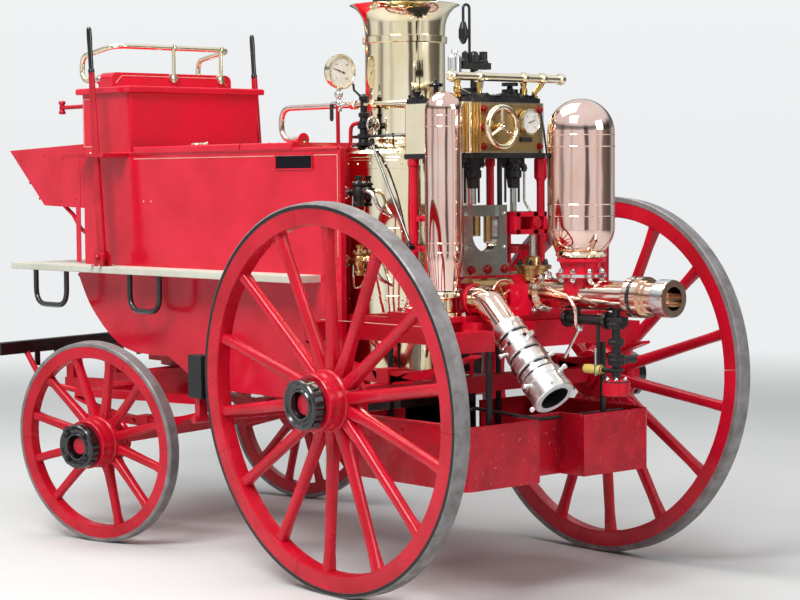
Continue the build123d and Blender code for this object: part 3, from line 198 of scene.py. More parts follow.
# The tray's enamel, scratched by shovels: pink chips down to the primer.
CHIPPED_RED = Finish(
    "chipped_red_enamel", "#C4122B", "#A50D20", "#D69A94", (0.2, 0.4), coat=0.08, specular=0.3,
    mark_share=0.2,
    mark_mm=12.0, patch_mm=90.0, grain_depth=0.05,
)
# Oxide red on nuts: dull and dark, rubbed by spanners.
NUT_RED = Finish("oxide_red_paint", "#9C1420", "#7E0F18", "#5A3A34", (0.3, 0.5), specular=0.3,
                 mark_share=0.08)
# Black stoving enamel on hubs and grips: a hard gloss with fine dust.
BLACK_ENAMEL = Finish("black_enamel", "#111114", "#1B1A1C", "#4A4542", (0.12, 0.3), coat=0.5,
                      mark_share=0.02)
# Painted shade: a flat black with no gloss at all, laid in recesses in place of the shade inside them, so
# that it reads as depth.
RECESS_SHADE_BLACK = Finish("matt_black_paint", "#0B0B10", "#101016", "#26241F", (0.75, 0.9), specular=0.15,
                    mark_share=0.0)
# Black oiled iron of valves and straps: satin with rust bloom in its pits.
BLACK_IRON = Finish("oiled_black_iron", "#1E1E22", "#2E2B2A", "#5A4034", (0.28, 0.46), metallic=0.4,
                    mark_share=0.05)
# Soot-blackened sheet iron in the chimney.
SOOTY_IRON = Finish("sooty_sheet_iron", "#2B2926", "#1C1B1A", "#57493E", (0.5, 0.75), metallic=0.3,
                    mark_share=0.1)
# Polished sheet brass: a pale, almost white gold that mirrors what stands round it with slow waves.
BRASS = Finish(
    "polished_sheet_brass", "#FBF1D8", "#F0DFB6", "#B8904A", (0.04, 0.1), metallic=1.0, mark_mm=26.0,
    mark_share=0.0, wave_mm=110.0, wave_depth=0.2, patch_mm=140.0, stretch=(1.0, 1.0, 0.4),
)
# Brass that is handled and steamed over: deeper gold, a little brown, softer highlights.
OLD_BRASS = Finish(
    "steamed_brass", "#D9B368", "#B98D48", "#6B5230", (0.14, 0.28), metallic=1.0, mark_share=0.06,
    patch_mm=50.0
)
# Cast gunmetal, wire brushed: a warm brown bronze.
GUNMETAL = Finish(
    "cast_gunmetal", "#C8A671", "#9F8356", "#544633", (0.22, 0.38), metallic=1.0, mark_share=0.07,
    grain_depth=0.08
)
# Rose bronze of the drawn delivery pipe: a pale mirror with a pink cast.
ROSE_BRONZE = Finish(
    "drawn_rose_bronze", "#F2DCCB", "#E6C3AE", "#A87B66", (0.05, 0.12), metallic=1.0, mark_share=0.0,
    patch_mm=90.0,
    wave_mm=110.0, wave_depth=0.1,
)
# Polished copper sheet: rose coloured, nearly a mirror, with planishing waves.
COPPER = Finish(
    "polished_copper", "#F5D9CE", "#EBC2B3", "#9A5B4A", (0.03, 0.08), metallic=1.0, mark_share=0.0,
    wave_mm=70.0, wave_depth=0.16, patch_mm=120.0, stretch=(1.0, 1.0, 0.3),
)
# Bright steel of rods and slide frames: ground, with a grey-green cast and oil stains.
STEEL = Finish(
    "ground_steel", "#CDD0CA", "#A9ADA5", "#5E5A52", (0.16, 0.32), metallic=1.0, mark_share=0.05,
    patch_mm=70.0
)
# Nickel plate on coupling rings and bolts: cold, bright and smooth.
NICKEL = Finish("plated_nickel", "#ECECEB", "#D9D9D7", "#8B8984", (0.1, 0.22), metallic=1.0,
                mark_share=0.02)
# Satin nickel of the screwed coupling: whiter, sanded by use, with dull patches.
SATIN_NICKEL = Finish(
    "satin_nickel", "#F2F1EF", "#DCDCDA", "#8F8D88", (0.24, 0.36), metallic=1.0, mark_share=0.04,
    patch_mm=40.0,
    grain_depth=0.05,
)
# Flat iron tyre, scuffed bright and dusty by the road.
TYRE_IRON = Finish(
    "scuffed_tyre_iron", "#8D898B", "#726D6B", "#4C443C", (0.42, 0.62), metallic=0.25, mark_share=0.2,
    mark_mm=14.0, grain_depth=0.25, grain_mm=6.0, patch_mm=60.0,
)
# Sanded deck paint on the treads: a pale grey green, scuffed by boots.
DECK_PAINT = Finish(
    "sanded_deck_paint", "#D6D6C8", "#C2C3B2", "#8E8B7C", (0.4, 0.6), mark_share=0.1, mark_mm=16.0,
    grain_depth=0.2,
    grain_mm=3.0,
)
# Fine lines of pale gold size on the enamel.
LINE_GOLD = Finish("pale_lining_paint", "#EDC0AC", "#E4AE9B", "#C98A7C", (0.3, 0.4), mark_share=0.05)
# Stove-enamelled dial plate.
DIAL_WHITE = Finish("white_dial_enamel", "#F1F0EA", "#E9E7DE", "#CFCBBE", (0.25, 0.35), coat=0.3)
# Turned wood handle in old yellow varnish.
YELLOW_WOOD = Finish("yellow_varnished_wood", "#DDC86A", "#C9B054", "#8E7433", (0.3, 0.4),
                     stretch=(1.0, 1.0, 4.0))


@dataclass
class Form:
    """A closed form: its points, and its faces as point numbers."""

    points: list[Vector]
    faces: list[tuple[int, ...]]

    def at(self, place: Matrix) -> "Form":
        """The same form, moved."""
        return Form([place @ p for p in self.points], self.faces)


def from_bmesh(bm: bmesh.types.BMesh) -> Form:
    """Reads a form out of a bmesh and frees it."""
    bm.verts.index_update()
    form = Form([v.co.copy() for v in bm.verts], [tuple(v.index for v in f.verts) for f in bm.faces])
    bm.free()
    return form


def softened(bm: bmesh.types.BMesh, edge: float, keep: Callable[[bmesh.types.BMEdge],
                                                                bool] | None = None) -> Form:
    """Rounds the sharp edges of a bmesh.

    Args:
        bm: The mesh, which is used up.
        edge: The rounding's width.
        keep: Tells which edges to round; every sharp one if it is left out.

    Returns:
        The rounded form.
    """
    bm.normal_update()
    sharp = [e for e in bm.edges if e.is_manifold and e.calc_face_angle(0) > SHARP_ANGLE]
    chosen = [e for e in sharp if not keep or keep(e)]
    if edge > 0 and chosen:
        bmesh.ops.bevel(bm, geom=chosen, offset=edge, segments=2, profile=0.7, affect="EDGES",
                        clamp_overlap=True)
    return from_bmesh(bm)


def brick(low: Triple, high: Triple, edge: float = 0.002) -> Form:
    """A box between two corners with rounded edges."""
    bm = bmesh.new()
    middle = [(a + b) / 2 for a, b in zip(low, high)]
    size = [abs(b - a) for a, b in zip(low, high)]
    bmesh.ops.create_cube(bm, size=1.0, matrix=Matrix.LocRotScale(Vector(middle), None, Vector(size)))
    return softened(bm, edge)


class Across(Enum):
    """The axis that a plate is cut across."""

    X = "x"
    Y = "y"
    Z = "z"

    def spot(self, a: float, b: float, level: float) -> Triple:
        """A point of the plate's outline at one level of the axis."""
        return {Across.X: (level, a, b), Across.Y: (a, level, b), Across.Z: (a, b, level)}[self]


def slab(outline: Profile, low: float, high: float, across: Across = Across.Y, edge: float = 0.002) -> Form:
    """A plate of one outline, cut between two levels of an axis.

    Args:
        outline: Corners in the two other axes, in order.
        low: Where the plate starts.
        high: Where it ends.
        across: The axis that it is cut across.
        edge: The rounding of its edges.

    Returns:
        The plate.
    """
    bm = bmesh.new()
    rows = [[bm.verts.new(across.spot(a, b, level)) for a, b in outline] for level in (low, high)]
    bm.faces.new(rows[0])
    bm.faces.new(reversed(rows[1]))
    count = len(outline)
    for n in range(count):
        bm.faces.new((rows[0][n], rows[1][n], rows[1][(n + 1) % count], rows[0][(n + 1) % count]))
    bmesh.ops.recalc_face_normals(bm, faces=bm.faces[:])
    return softened(bm, edge)


def lathe(profile: Profile, steps: int = 48) -> Form:
    """A form turned about Z.

    Args:
        profile: (radius, height) corners, closed by the form itself when both ends lie on the axis.
        steps: Faces round the turn.

    Returns:
        The turned form.
    """
    points: list[Vector] = []
    rows: list[list[int]] = []
    for radius, height in profile:
        if radius <= 0:
            points.append(Vector((0, 0, height)))
            rows.append([len(points) - 1])
            continue
        rows.append(list(range(len(points), len(points) + steps)))
        for n in range(steps):
            turn = FULL_TURN * n / steps
            points.append(Vector((radius * math.cos(turn), radius * math.sin(turn), height)))
    pairs = list(zip(rows, rows[1:]))
    if profile[0][0] > 0 or profile[-1][0] > 0:
        pairs.append((rows[-1], rows[0]))
    faces: list[tuple[int, ...]] = []
    for low, high in pairs:
        if len(low) == 1 and len(high) == 1:
            continue
        for n in range(steps):
            m = (n + 1) % steps
            corners = [low[n % len(low)], low[m % len(low)], high[m % len(high)], high[n % len(high)]]
            faces.append(tuple(dict.fromkeys(corners)))
    return Form(points, faces)


def arc(centre: tuple[float, float], radius: float, start: float, end: float,
        steps: int = 8) -> list[tuple[float, float]]:
    """Points of an arc, with its angles in degrees."""
    angles = [math.radians(start + (end - start) * n / steps) for n in range(steps + 1)]
    return [(centre[0] + radius * math.cos(a), centre[1] + radius * math.sin(a)) for a in angles]


def drum(radius: float, low: float, high: float, edge: float = 0.002, steps: int = 32) -> Form:
    """A round bar about Z with eased ends."""
    e = min(edge, radius / 2, (high - low) / 2)
    return lathe([(0, low), (radius - e, low), (radius, low + e), (radius, high - e), (radius - e, high),
                  (0, high)], steps)


def hoop(radius: float, thick: float, steps: int = 48, sides: int = 12) -> Form:
    """A round ring about Z."""
    return lathe([(radius + thick * math.cos(FULL_TURN * n / sides),
                   thick * math.sin(FULL_TURN * n / sides))
                  for n in range(sides)], steps)


def hexagon(across: float, height: float) -> Form:
    """A hexagon nut or bolt head standing on Z = 0, with its corners eased."""
    radius = across / math.sqrt(3)
    return lathe([(0, 0), (radius, 0), (radius, 0.8 * height), (0.86 * radius, height), (0, height)], 6)


def bolt(across: float, height: float) -> Form:
    """A nut on its washer, with the bolt's end standing out."""
    parts = [drum(0.72 * across, 0, 0.18 * height, 0.0004, 16), hexagon(across, height),
             drum(0.26 * across, height, 1.35 * height, 0.0005, 12)]
    return joined(parts)


def joined(forms: Iterable[Form]) -> Form:
    """Several forms as one."""
    points: list[Vector] = []
    faces: list[tuple[int, ...]] = []
    for form in forms:
        start = len(points)
        points += form.points
        faces += [tuple(n + start for n in face) for face in form.faces]
    return Form(points, faces)


def rounded_route(points: Sequence[Triple], bend: float, steps: int = 6) -> list[Vector]:
    """A rigid pipe's line: straight runs with an arc at each corner.

    Args:
        points: The corners.
        bend: The bend's radius, cut down where a run is short.
        steps: Points on each bend.

    Returns:
        The line's points.
    """
    corners = [Vector(p) for p in points]
    line = [corners[0]]
    for before, here, after in zip(corners, corners[1:], corners[2:]):
        back, on = (before - here), (after - here)
        angle = back.angle(on)
        reach = min(bend / math.tan(angle / 2), 0.48 * back.length, 0.48 * on.length)
        start, end = here + back.normalized() * reach, here + on.normalized() * reach
        for n in range(steps + 1):
            t = n / steps
            line.append(start * (1 - t) ** 2 + here * 2 * t * (1 - t) + end * t * t)
    line.append(corners[-1])
    return line


def tube(points: Sequence[Triple], radius: float, bend: float = 0.03, sides: int = 14) -> Form:
    """A round pipe or bar along a route, closed at both ends."""
    line = rounded_route(points, bend) if len(points) > 2 else [Vector(p) for p in points]
    across: Vector | None = None
    rings: list[Vector] = []
    for n, here in enumerate(line):
        along = (line[min(n + 1, len(line) - 1)] - line[max(n - 1, 0)]).normalized()
        if across is None:
            across = along.orthogonal()
        across = (across - along * across.dot(along)).normalized()
        other = along.cross(across)
        for k in range(sides):
            turn = FULL_TURN * k / sides
            rings.append(here + across * radius * math.cos(turn) + other * radius * math.sin(turn))
    faces: list[tuple[int, ...]] = []
    for n in range(len(line) - 1):
        for k in range(sides):
            m = (k + 1) % sides
            faces.append((n * sides + k, n * sides + m, (n + 1) * sides + m, (n + 1) * sides + k))
    faces.append(tuple(reversed(range(sides))))
    faces.append(tuple(range((len(line) - 1) * sides, len(line) * sides)))
    return Form(rings, faces)


def moved(x: float = 0, y: float = 0, z: float = 0) -> Matrix:
    """A shift."""
    return Matrix.Translation((x, y, z))


def turned_to(direction: Triple) -> Matrix:
    """A turn that brings Z to a direction."""
    return Vector(direction).to_track_quat("Z", "Y").to_matrix().to_4x4()


class Facing(Enum):
    """The ways that a fitting's own Z can point."""

    REAR = (1, 0, 0)
    FRONT = (-1, 0, 0)
    RIGHT = (0, 1, 0)
    LEFT = (0, -1, 0)
    UP = (0, 0, 1)
    DOWN = (0, 0, -1)

    @property
    def turn(self) -> Matrix:
        """The turn from Z to this way."""
        return turned_to(self.value)


class Side(IntEnum):
    """The engine's two sides, as the driver sees them."""

    LEFT = -1
    RIGHT = 1

    @property
    def word(self) -> str:
        """The side's name."""
        return self.name.lower()

    @property
    def outward(self) -> Facing:
        """The way out from the engine on this side."""
        return Facing.LEFT if self is Side.LEFT else Facing.RIGHT


def placed(x: float, y: float, z: float, facing: Facing = Facing.UP) -> Matrix:
    """A place with its own Z facing along an axis."""
    return moved(x, y, z) @ facing.turn


class Piece:
    """One object in the making: forms in several finishes."""

    def __init__(self, name: str) -> None:
        """Starts an empty piece."""
        self.name = name
        self.points: list[Vector] = []
        self.faces: list[tuple[int, ...]] = []
        self.marks: list[int] = []
        self.finishes: list[Finish] = []

    def add(self, finish: Finish, *forms: Form, at: Matrix | None = None) -> "Piece":
        """Adds forms in one finish.

        Args:
            finish: What they are made of.
            forms: The forms.
            at: Where they go; where they are if it is left out.

        Returns:
            The piece itself.
        """
        if finish not in self.finishes:
            self.finishes.append(finish)
        mark = self.finishes.index(finish)
        for form in forms:
            shape = form.at(at) if at else form
            start = len(self.points)
            self.points += shape.points
            self.faces += [tuple(n + start for n in face) for face in shape.faces]
            self.marks += [mark] * len(shape.faces)
        return self

    def copy_of(self, finish: Finish, node: str, edge: float = 0.0025) -> "Piece":
        """Adds a construction node's own shape with its sharp edges eased.

        Args:
            finish: What it is made of.
            node: The node's name.
            edge: The easing of its edges.

        Returns:
            The piece itself.
        """
        bm = bmesh.new()
        bm.from_mesh(FRAME["nodes"][node].data)
        bmesh.ops.remove_doubles(bm, verts=bm.verts[:], dist=2e-5)
        bmesh.ops.dissolve_limit(bm, angle_limit=math.radians(0.6), verts=bm.verts[:], edges=bm.edges[:])
        return self.add(finish, softened(bm, edge))

    def ready(self, body: str, slot: str, *nodes: str) -> bpy.types.Object:
        """Makes the object and hangs it on its body.

        Args:
            body: The body that it rides on.
            slot: The record's material slot; not used.
            nodes: Construction nodes that it stands for.

        Returns:
            The finished object.
        """
        mesh = bpy.data.meshes.new(self.name)
        mesh.from_pydata(self.points, [], self.faces)
        for finish in self.finishes:
            mesh.materials.append(finish.material())
        mesh.polygons.foreach_set("material_index", self.marks)
        mesh.polygons.foreach_set("use_smooth", [True] * len(mesh.polygons))
        mesh.update()
        bm = bmesh.new()
        bm.from_mesh(mesh)
        bmesh.ops.recalc_face_normals(bm, faces=bm.faces[:])
        bm.to_mesh(mesh)
        bm.free()
        mesh.set_sharp_from_angle(angle=SHARP_ANGLE)
        made = bpy.data.objects.new(self.name, mesh)
        bpy.context.scene.collection.objects.link(made)
        weighted = made.modifiers.new("weighted", "WEIGHTED_NORMAL")
        weighted.keep_sharp = True
        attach(made, body)
        if nodes:
            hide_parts(*nodes)
        LOG.info("%s: %d faces on %s", self.name, len(self.faces), body)
        return made


def ring_of(form: Form, count: int, radius: float, phase: float = 0.0) -> list[Form]:
    """Copies of a form on a circle about Z."""
    turns = [math.radians(phase) + FULL_TURN * n / count for n in range(count)]
    return [form.at(Matrix.Rotation(t, 4, "Z") @ moved(radius)) for t in turns]


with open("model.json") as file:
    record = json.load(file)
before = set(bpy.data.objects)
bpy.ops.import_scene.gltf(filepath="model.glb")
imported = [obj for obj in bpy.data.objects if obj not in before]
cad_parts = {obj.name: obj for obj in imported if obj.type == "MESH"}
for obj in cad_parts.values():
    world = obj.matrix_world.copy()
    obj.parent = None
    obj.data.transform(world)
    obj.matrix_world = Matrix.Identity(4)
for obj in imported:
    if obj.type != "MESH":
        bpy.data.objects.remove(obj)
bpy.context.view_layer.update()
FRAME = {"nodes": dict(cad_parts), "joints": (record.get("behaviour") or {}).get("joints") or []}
JOINTS = {joint["name"]: joint for joint in FRAME["joints"]}
FRONT_AXLE_X = JOINTS["steering"]["pos_m"][0]


def aft(distance: float) -> float:
    """X of a place that lies this far behind the front axle line."""
    return FRONT_AXLE_X + distance


def node_middle(node: str) -> Vector:
    """The middle of a construction node's box."""
    low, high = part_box(node)
    return (low + high) / 2


@dataclass
class Wheel:
    """A wooden carriage wheel with its iron tyre and hub box."""

    axle: str
    side: Side
    radius: float
    width: float
    tyre: float
    felloe: float
    nave: float
    count: int
    phase: float
    missing: tuple[int, ...] = ()
    nave_in: float = -0.108
    nave_out: float = 0.074
    cap_out: float = 0.130
    cap_radius: float = 0.088
    cap_bore: float = 0.044
    root_z: float = -0.026
    tip_z: float = -0.002
    spoke_depth: float = 0.050
    spoke_thick: float = 0.043

    @property
    def name(self) -> str:
        """The wheel's name, such as rear_left."""
        return f"{self.axle}_{self.side.word}"

    def place(self) -> Matrix:
        """The wheel's own frame: Z outwards along its axle arm, X level."""
        joint = JOINTS[f"{self.name}_spin"]
        out = Vector(joint["axis"])
        if out.y * self.side < 0:
            out.negate()
        level = Vector((0, 0, 1)).cross(out).normalized() * -self.side
        turn = Matrix((level, out.cross(level), out)).transposed().to_4x4()
        return Matrix.Translation(joint["pos_m"]) @ turn

    def felloes(self) -> list[Form]:
        """The rim's sections, two spokes to each, with eased inner edges and open joints."""
        outer = self.radius - self.tyre
        inner = outer - self.felloe
        half, ease = self.width / 2, 0.009
        section = [(outer, -half), (outer, half), (inner + ease, half),
                   (inner + 0.3 * ease, half - 0.3 * ease),
                   (inner, half - ease), (inner, ease - half), (inner + 0.3 * ease, 0.3 * ease - half),
                   (inner + ease, -half)]
        parts = self.count // 2
        gap = 0.0007 / outer
        steps = 12
        forms = []
        for n in range(parts):
            start = math.radians(self.phase) + FULL_TURN * (n - 0.25) / parts + gap
            span = FULL_TURN / parts - 2 * gap
            points, faces = [], []
            for k in range(steps + 1):
                turn = start + span * k / steps
                points += [Vector((r * math.cos(turn), r * math.sin(turn), z)) for r, z in section]
            size = len(section)
            for k in range(steps):
                for m in range(size):
                    p = (m + 1) % size
                    faces.append((k * size + m, k * size + p, (k + 1) * size + p, (k + 1) * size + m))
            faces += [tuple(range(size)), tuple(reversed(range(steps * size, (steps + 1) * size)))]
            forms.append(Form(points, faces))
        return forms

    def spoke(self) -> Form:
        """One spoke along X: square at the nave, oval through its body, square again at the rim."""
        start, end = 0.82 * self.nave, self.radius - self.tyre - self.felloe + 0.004
        run = end - start
        scale = 0.72 + 0.28 * self.radius / 0.686
        # share of the length, width across the wheel, thickness, squareness of the section
        stations = [(0.0, 1.05, 1.1, 5.0), (0.1, 1.02, 1.06, 4.0), (0.2, 0.9, 1.0, 2.6),
                    (0.5, 0.82, 0.94, 2.3),
                    (0.85, 0.78, 0.88, 2.4), (0.94, 0.84, 0.9, 3.2), (1.0, 0.88, 0.92, 4.0)]
        sides, points, faces = 16, [], []
        for share, wide, thick, square in stations:
            z = self.root_z + (self.tip_z - self.root_z) * share
            for k in range(sides):
                turn = FULL_TURN * (k + 0.5) / sides
                c, s = math.cos(turn), math.sin(turn)
                y = math.copysign(abs(c) ** (2 / square), c) * scale * self.spoke_thick * thick / 2
                w = math.copysign(abs(s) ** (2 / square), s) * scale * self.spoke_depth * wide / 2
                points.append(Vector((start + run * share, y, z + w)))
        for n in range(len(stations) - 1):
            for k in range(sides):
                m = (k + 1) % sides
                faces.append((n * sides + k, n * sides + m, (n + 1) * sides + m, (n + 1) * sides + k))
        faces += [tuple(range(sides)), tuple(range((len(stations) - 1) * sides, len(stations) * sides))]
        return Form(points, faces)

    def nave_form(self) -> Form:
        """The turned nave with its bands and beads."""
        r, arm, mid = self.nave, 0.034 * self.nave / 0.102, self.root_z
        profile = [(arm, self.nave_in), (0.8 * r, self.nave_in), (0.84 * r, self.nave_in + 0.004),
                   (0.84 * r, self.nave_in + 0.022), (0.8 * r, self.nave_in + 0.026),
                   (0.83 * r, mid - 0.05),
                   (0.93 * r, mid - 0.036), (r, mid - 0.03), (1.01 * r, mid), (r, mid + 0.03),
                   (0.95 * r, mid + 0.036), (0.955 * r, mid + 0.056), (0.93 * r, mid + 0.062),
                   (0.9 * r, self.nave_out - 0.026), (0.93 * r, self.nave_out - 0.022),
                   (0.93 * r, self.nave_out - 0.004), (0.9 * r, self.nave_out), (arm, self.nave_out)]
        return lathe(profile, 64)

    def build(self) -> None:
        """Builds woodwork, tyre and hub box."""
        place = self.place()
        body = f"{self.name}_wheel"
        wood = Piece(f"{self.name}_woodwork")
        wood.add(WORN_RED, *self.felloes(), self.nave_form(), at=place)
        spoke = self.spoke()
        for n in range(self.count):
            if n not in self.missing:
                turn = Matrix.Rotation(math.radians(self.phase) + FULL_TURN * n / self.count, 4, "Z")
                wood.add(WORN_RED, spoke, at=place @ turn)
        wood.ready(body, "red_paint_wood", f"{self.axle}_wheel_{self.side.word}")
        self.tyre_piece(place, body)
        self.hub_piece(place, body)

    def tyre_piece(self, place: Matrix, body: str) -> None:
        """The shrunk-on iron tyre, coned to meet the ground, with a black band on the rear ones."""
        half, outer, inner = self.width / 2 + 0.002, self.radius, self.radius - self.tyre
        lean = half * math.tan(math.radians(3.5))
        round_off = 0.005
        tread = [(inner, -half), (outer + lean - round_off, -half),
                 (outer + lean - 0.001, round_off - half),
                 (outer, 0), (outer - lean, half - round_off), (outer - lean - round_off, half - 0.001),
                 (inner, half - 0.001)]
        edge = [(inner + 0.0005, half - 0.0012), (outer - lean - 1.3 * round_off, half - 0.0012),
                (outer - lean - 1.3 * round_off, half), (inner + 0.0005, half)]
        piece = Piece(f"{self.name}_iron_tyre")
        piece.add(TYRE_IRON, lathe(tread, 120), at=place)
        if self.axle == "rear":
            piece.add(BLACK_IRON, lathe(edge, 120), at=place)
        piece.ready(body, "tyre", f"{self.axle}_tyre_{self.side.word}")

    def hub_piece(self, place: Matrix, body: str) -> None:
        """The black hub box with its recess, closed deep inside by a matt black disc of painted shade."""
        r, low, top, bore = self.cap_radius, self.nave_out, self.cap_out, self.cap_bore
        profile = [(bore, low + 0.001), (0.9 * r, low + 0.001), (0.9 * r, low + 0.01), (r, low + 0.014),
                   (r, top - 0.006), (r - 0.004, top - 0.001), (r - 0.012, top), (r - 0.018, top - 0.006),
                   (bore + 0.014, top - 0.008), (bore + 0.01, top - 0.003), (bore + 0.003, top - 0.003),
                   (bore, top - 0.008)]
        piece = Piece(f"{self.name}_hub_box").add(BLACK_ENAMEL, lathe(profile, 56), at=place)
        # Painted shade: a matt black disc closes the bore, standing for the shade deep in the recess.
        piece.add(RECESS_SHADE_BLACK, drum(bore + 0.0008, top - 0.034, top - 0.03, 0.0005, 40), at=place)
        lug = brick((-0.006, -0.012, low + 0.02), (0.006, 0.012, low + 0.044), 0.002)
        piece.add(BLACK_ENAMEL, *ring_of(lug, 4, r + 0.002, 45), at=place)
        if self.axle == "front":
            piece.add(BLACK_IRON, *ring_of(bolt(0.021, 0.01).at(moved(z=top - 0.004)), 4, r - 0.022, 45),
                      at=place)
        piece.ready(body, "black_iron", f"{self.axle}_cap_{self.side.word}")


@dataclass
class HoseBody:
    """The hose box, its lids, the driver's seat and the boards round them."""

    half: float = 0.331
    side_top: float = 1.56
    seat_line_top: float = 1.812
    line_width: float = 0.0034
    iron_y: float = 0.42
    # middle and half length of each iron under the boards
    irons: Profile = ((-0.569, 0.124), (0.15, 0.107))
    iron_bar: float = 0.0115
    post_y: tuple[float, float] = (0.0, 0.25)
    # the rounded belly in front of the body's slope: distance behind the front axle, height
    belly: Profile = (
        (-0.486, 1.034), (-0.463, 0.998), (-0.432, 0.951), (-0.401, 0.913), (-0.362, 0.876),
        (-0.301, 0.827),
        (-0.248, 0.792), (-0.195, 0.765), (-0.134, 0.742), (-0.06, 0.728), (0.06, 0.724), (0.28, 0.728),
        (0.3, 0.75),
        (0.08, 0.81), (-0.22, 0.945), (-0.45, 1.05),
    )

    def stripe(self, *points: Triple) -> Form:
        """A painted line along a route, barely proud of its panel."""
        return tube(points, self.line_width / 2, 0.012, 6)

    def frame_lines(self, x: float, low: tuple[float, float], high: tuple[float, float]) -> list[Form]:
        """Two painted lines round a panel that faces the rear or front.

        Args:
            x: The panel's level.
            low: Its lowest y and z.
            high: Its highest y and z.

        Returns:
            The lines, with notched corners as coach liners paint them.
        """
        forms = []
        for inset, notch in ((0.025, 0.0), (0.036, 0.012)):
            y0, z0, y1, z1 = low[0] + inset, low[1] + inset, high[0] - inset, high[1] - inset
            corners = [(x, y0 + notch, z0), (x, y1 - notch, z0), (x, y1, z0 + notch), (x, y1, z1 - notch),
                       (x, y1 - notch, z1), (x, y0 + notch, z1), (x, y0, z1 - notch), (x, y0, z0 + notch)]
            forms += [self.stripe(a, b) for a, b in zip(corners, corners[1:] + corners[:1]) if a != b]
        return forms

    def box(self) -> None:
        """The hose box with its moulding, corner irons, rivets, painted lines, and a matt black plate in a
        red frame that is painted shade standing for a step recess.
        """
        low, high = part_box("body_box")
        seat_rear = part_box("seat_box")[1].x
        piece = Piece("hose_box").copy_of(RED_ENAMEL, "body_box", 0.003)
        piece.add(RED_ENAMEL, slab([(aft(x), z) for x, z in self.belly], -self.half + 0.0006,
                                   self.half - 0.0006, edge=0.003))
        rivet = lathe([(0, 0.0022), (0.003, 0.0018), (0.0052, 0)], 12)
        for side in Side:
            y, facing = side * self.half, side.outward
            for z in (1.13, 1.22, 1.31, 1.40, 1.49):
                for x in (low.x + 0.018, aft(1.285)):
                    piece.add(RED_ENAMEL, rivet, at=placed(x, y, z, facing))
            piece.add(LINE_GOLD, self.stripe((seat_rear, y, self.side_top - 0.024),
                                             (high.x - 0.018, y, self.side_top - 0.024)))
            piece.add(LINE_GOLD, self.stripe((high.x - 0.018, y, self.side_top - 0.024),
                                             (high.x - 0.018, y, 1.16)))
            piece.add(RED_ENAMEL, brick((low.x, y - 0.0015, 1.095), (low.x + 0.036, y + 0.0015, 1.555),
                                        0.001))
            bead = tube([(aft(-0.37), y, self.side_top), (high.x - 0.01, y, self.side_top)], 0.0065, 0.01,
                        12)
            piece.add(RED_ENAMEL, bead)
            piece.add(BRASS, lathe([(0, -0.008), (0.007, -0.004), (0.009, 0.003), (0.005, 0.009),
                                    (0, 0.011)], 16),
                      at=placed(aft(-0.372), y, self.side_top, Facing.FRONT))
            x0, x1, z0, z1 = aft(0.924), aft(1.144), 1.488, 1.536
            # Painted shade: a flat matt black plate on the side, framed by red mouldings below, stands for
            # the shade inside a step recess.
            recess = [brick((x0, y - 0.0012, z0), (x1, y + 0.0012, z1), 0.0004)]
            piece.add(RECESS_SHADE_BLACK, *recess)
            for a, b, c, d in ((x0 - 0.006, x1 + 0.006, z0 - 0.006, z0),
                               (x0 - 0.006, x1 + 0.006, z1, z1 + 0.006),
                               (x0 - 0.006, x0, z0, z1), (x1, x1 + 0.006, z0, z1)):
                piece.add(RED_ENAMEL, brick((a, y - 0.0045, c), (b, y + 0.0045, d), 0.0012))
            for x in (aft(0.02), aft(0.075)):
                piece.add(LINE_GOLD, rivet.at(Matrix.Scale(0.8, 4)), at=placed(x, y, 1.36, facing))
        piece.ready("carriage", "red_paint_wood", "body_box")

    def seat(self) -> None:
        """The seat locker: double lines on its panels and pale lines on the edge of its back."""
        low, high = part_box("seat_box")
        piece = Piece("seat_locker").copy_of(RED_ENAMEL, "seat_box", 0.004)
        rear = aft(-0.336)
        back = aft(-0.236)
        piece.add(LINE_GOLD, *self.frame_lines(back + 0.0006, (-0.3, self.side_top + 0.022),
                                               (0.3, self.seat_line_top)))
        for side in Side:
            y = side * self.half
            corner = [(low.x + 0.03, y, 1.592), (low.x + 0.03, y, 1.795), (rear - 0.012, y, 1.795),
                      (rear - 0.012, y, 1.592)]
            for a, b in zip(corner, corner[1:] + corner[:1]):
                piece.add(LINE_GOLD, self.stripe(a, b))
        edge = [(back + 0.0004, -0.29, 1.86), (back + 0.0004, -0.26, high.z - 0.014),
                (back + 0.0004, 0.26, high.z - 0.014),
                (back + 0.0004, 0.29, 1.86)]
        piece.add(LINE_GOLD, self.stripe(*edge))
        piece.ready("carriage", "red_paint_wood", "seat_box")

    def lids(self) -> None:
        """The two lids with rounded edges, hinge straps and a lift ring."""
        for side in Side:
            node = f"hose_lid_{side.word}"
            low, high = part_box(node)
            top = high.z - 0.0028
            piece = Piece(f"{side.word}_lid_board").copy_of(RED_ENAMEL, node, 0.004)
            inner, outer = (high.y, low.y) if side is Side.LEFT else (low.y, high.y)
            for share in (0.18, 0.82):
                x = low.x + share * (high.x - low.x)
                ends = sorted((inner + side * 0.008, inner + side * 0.18))
                piece.add(WORN_RED, brick((x - 0.018, ends[0], top - 0.001),
                                          (x + 0.018, ends[1], top + 0.004), 0.0015))
                for off in (0.04, 0.09, 0.15):
                    piece.add(WORN_RED, bolt(0.009, 0.004), at=moved(x, inner + side * off, top + 0.004))
            centre, staple = (low.x + high.x) / 2, outer - side * 0.095
            piece.add(BRASS, hoop(0.028, 0.0045, 24, 8),
                      at=moved(centre, outer - side * 0.07, top + 0.0045))
            piece.add(BRASS, tube([(centre - 0.03, staple, top), (centre - 0.03, staple, top + 0.011),
                                   (centre + 0.03, staple, top + 0.011), (centre + 0.03, staple, top)],
                                   0.003, 0.006, 8))
            piece.ready(f"{side.word}_lid", "red_paint_wood", node)

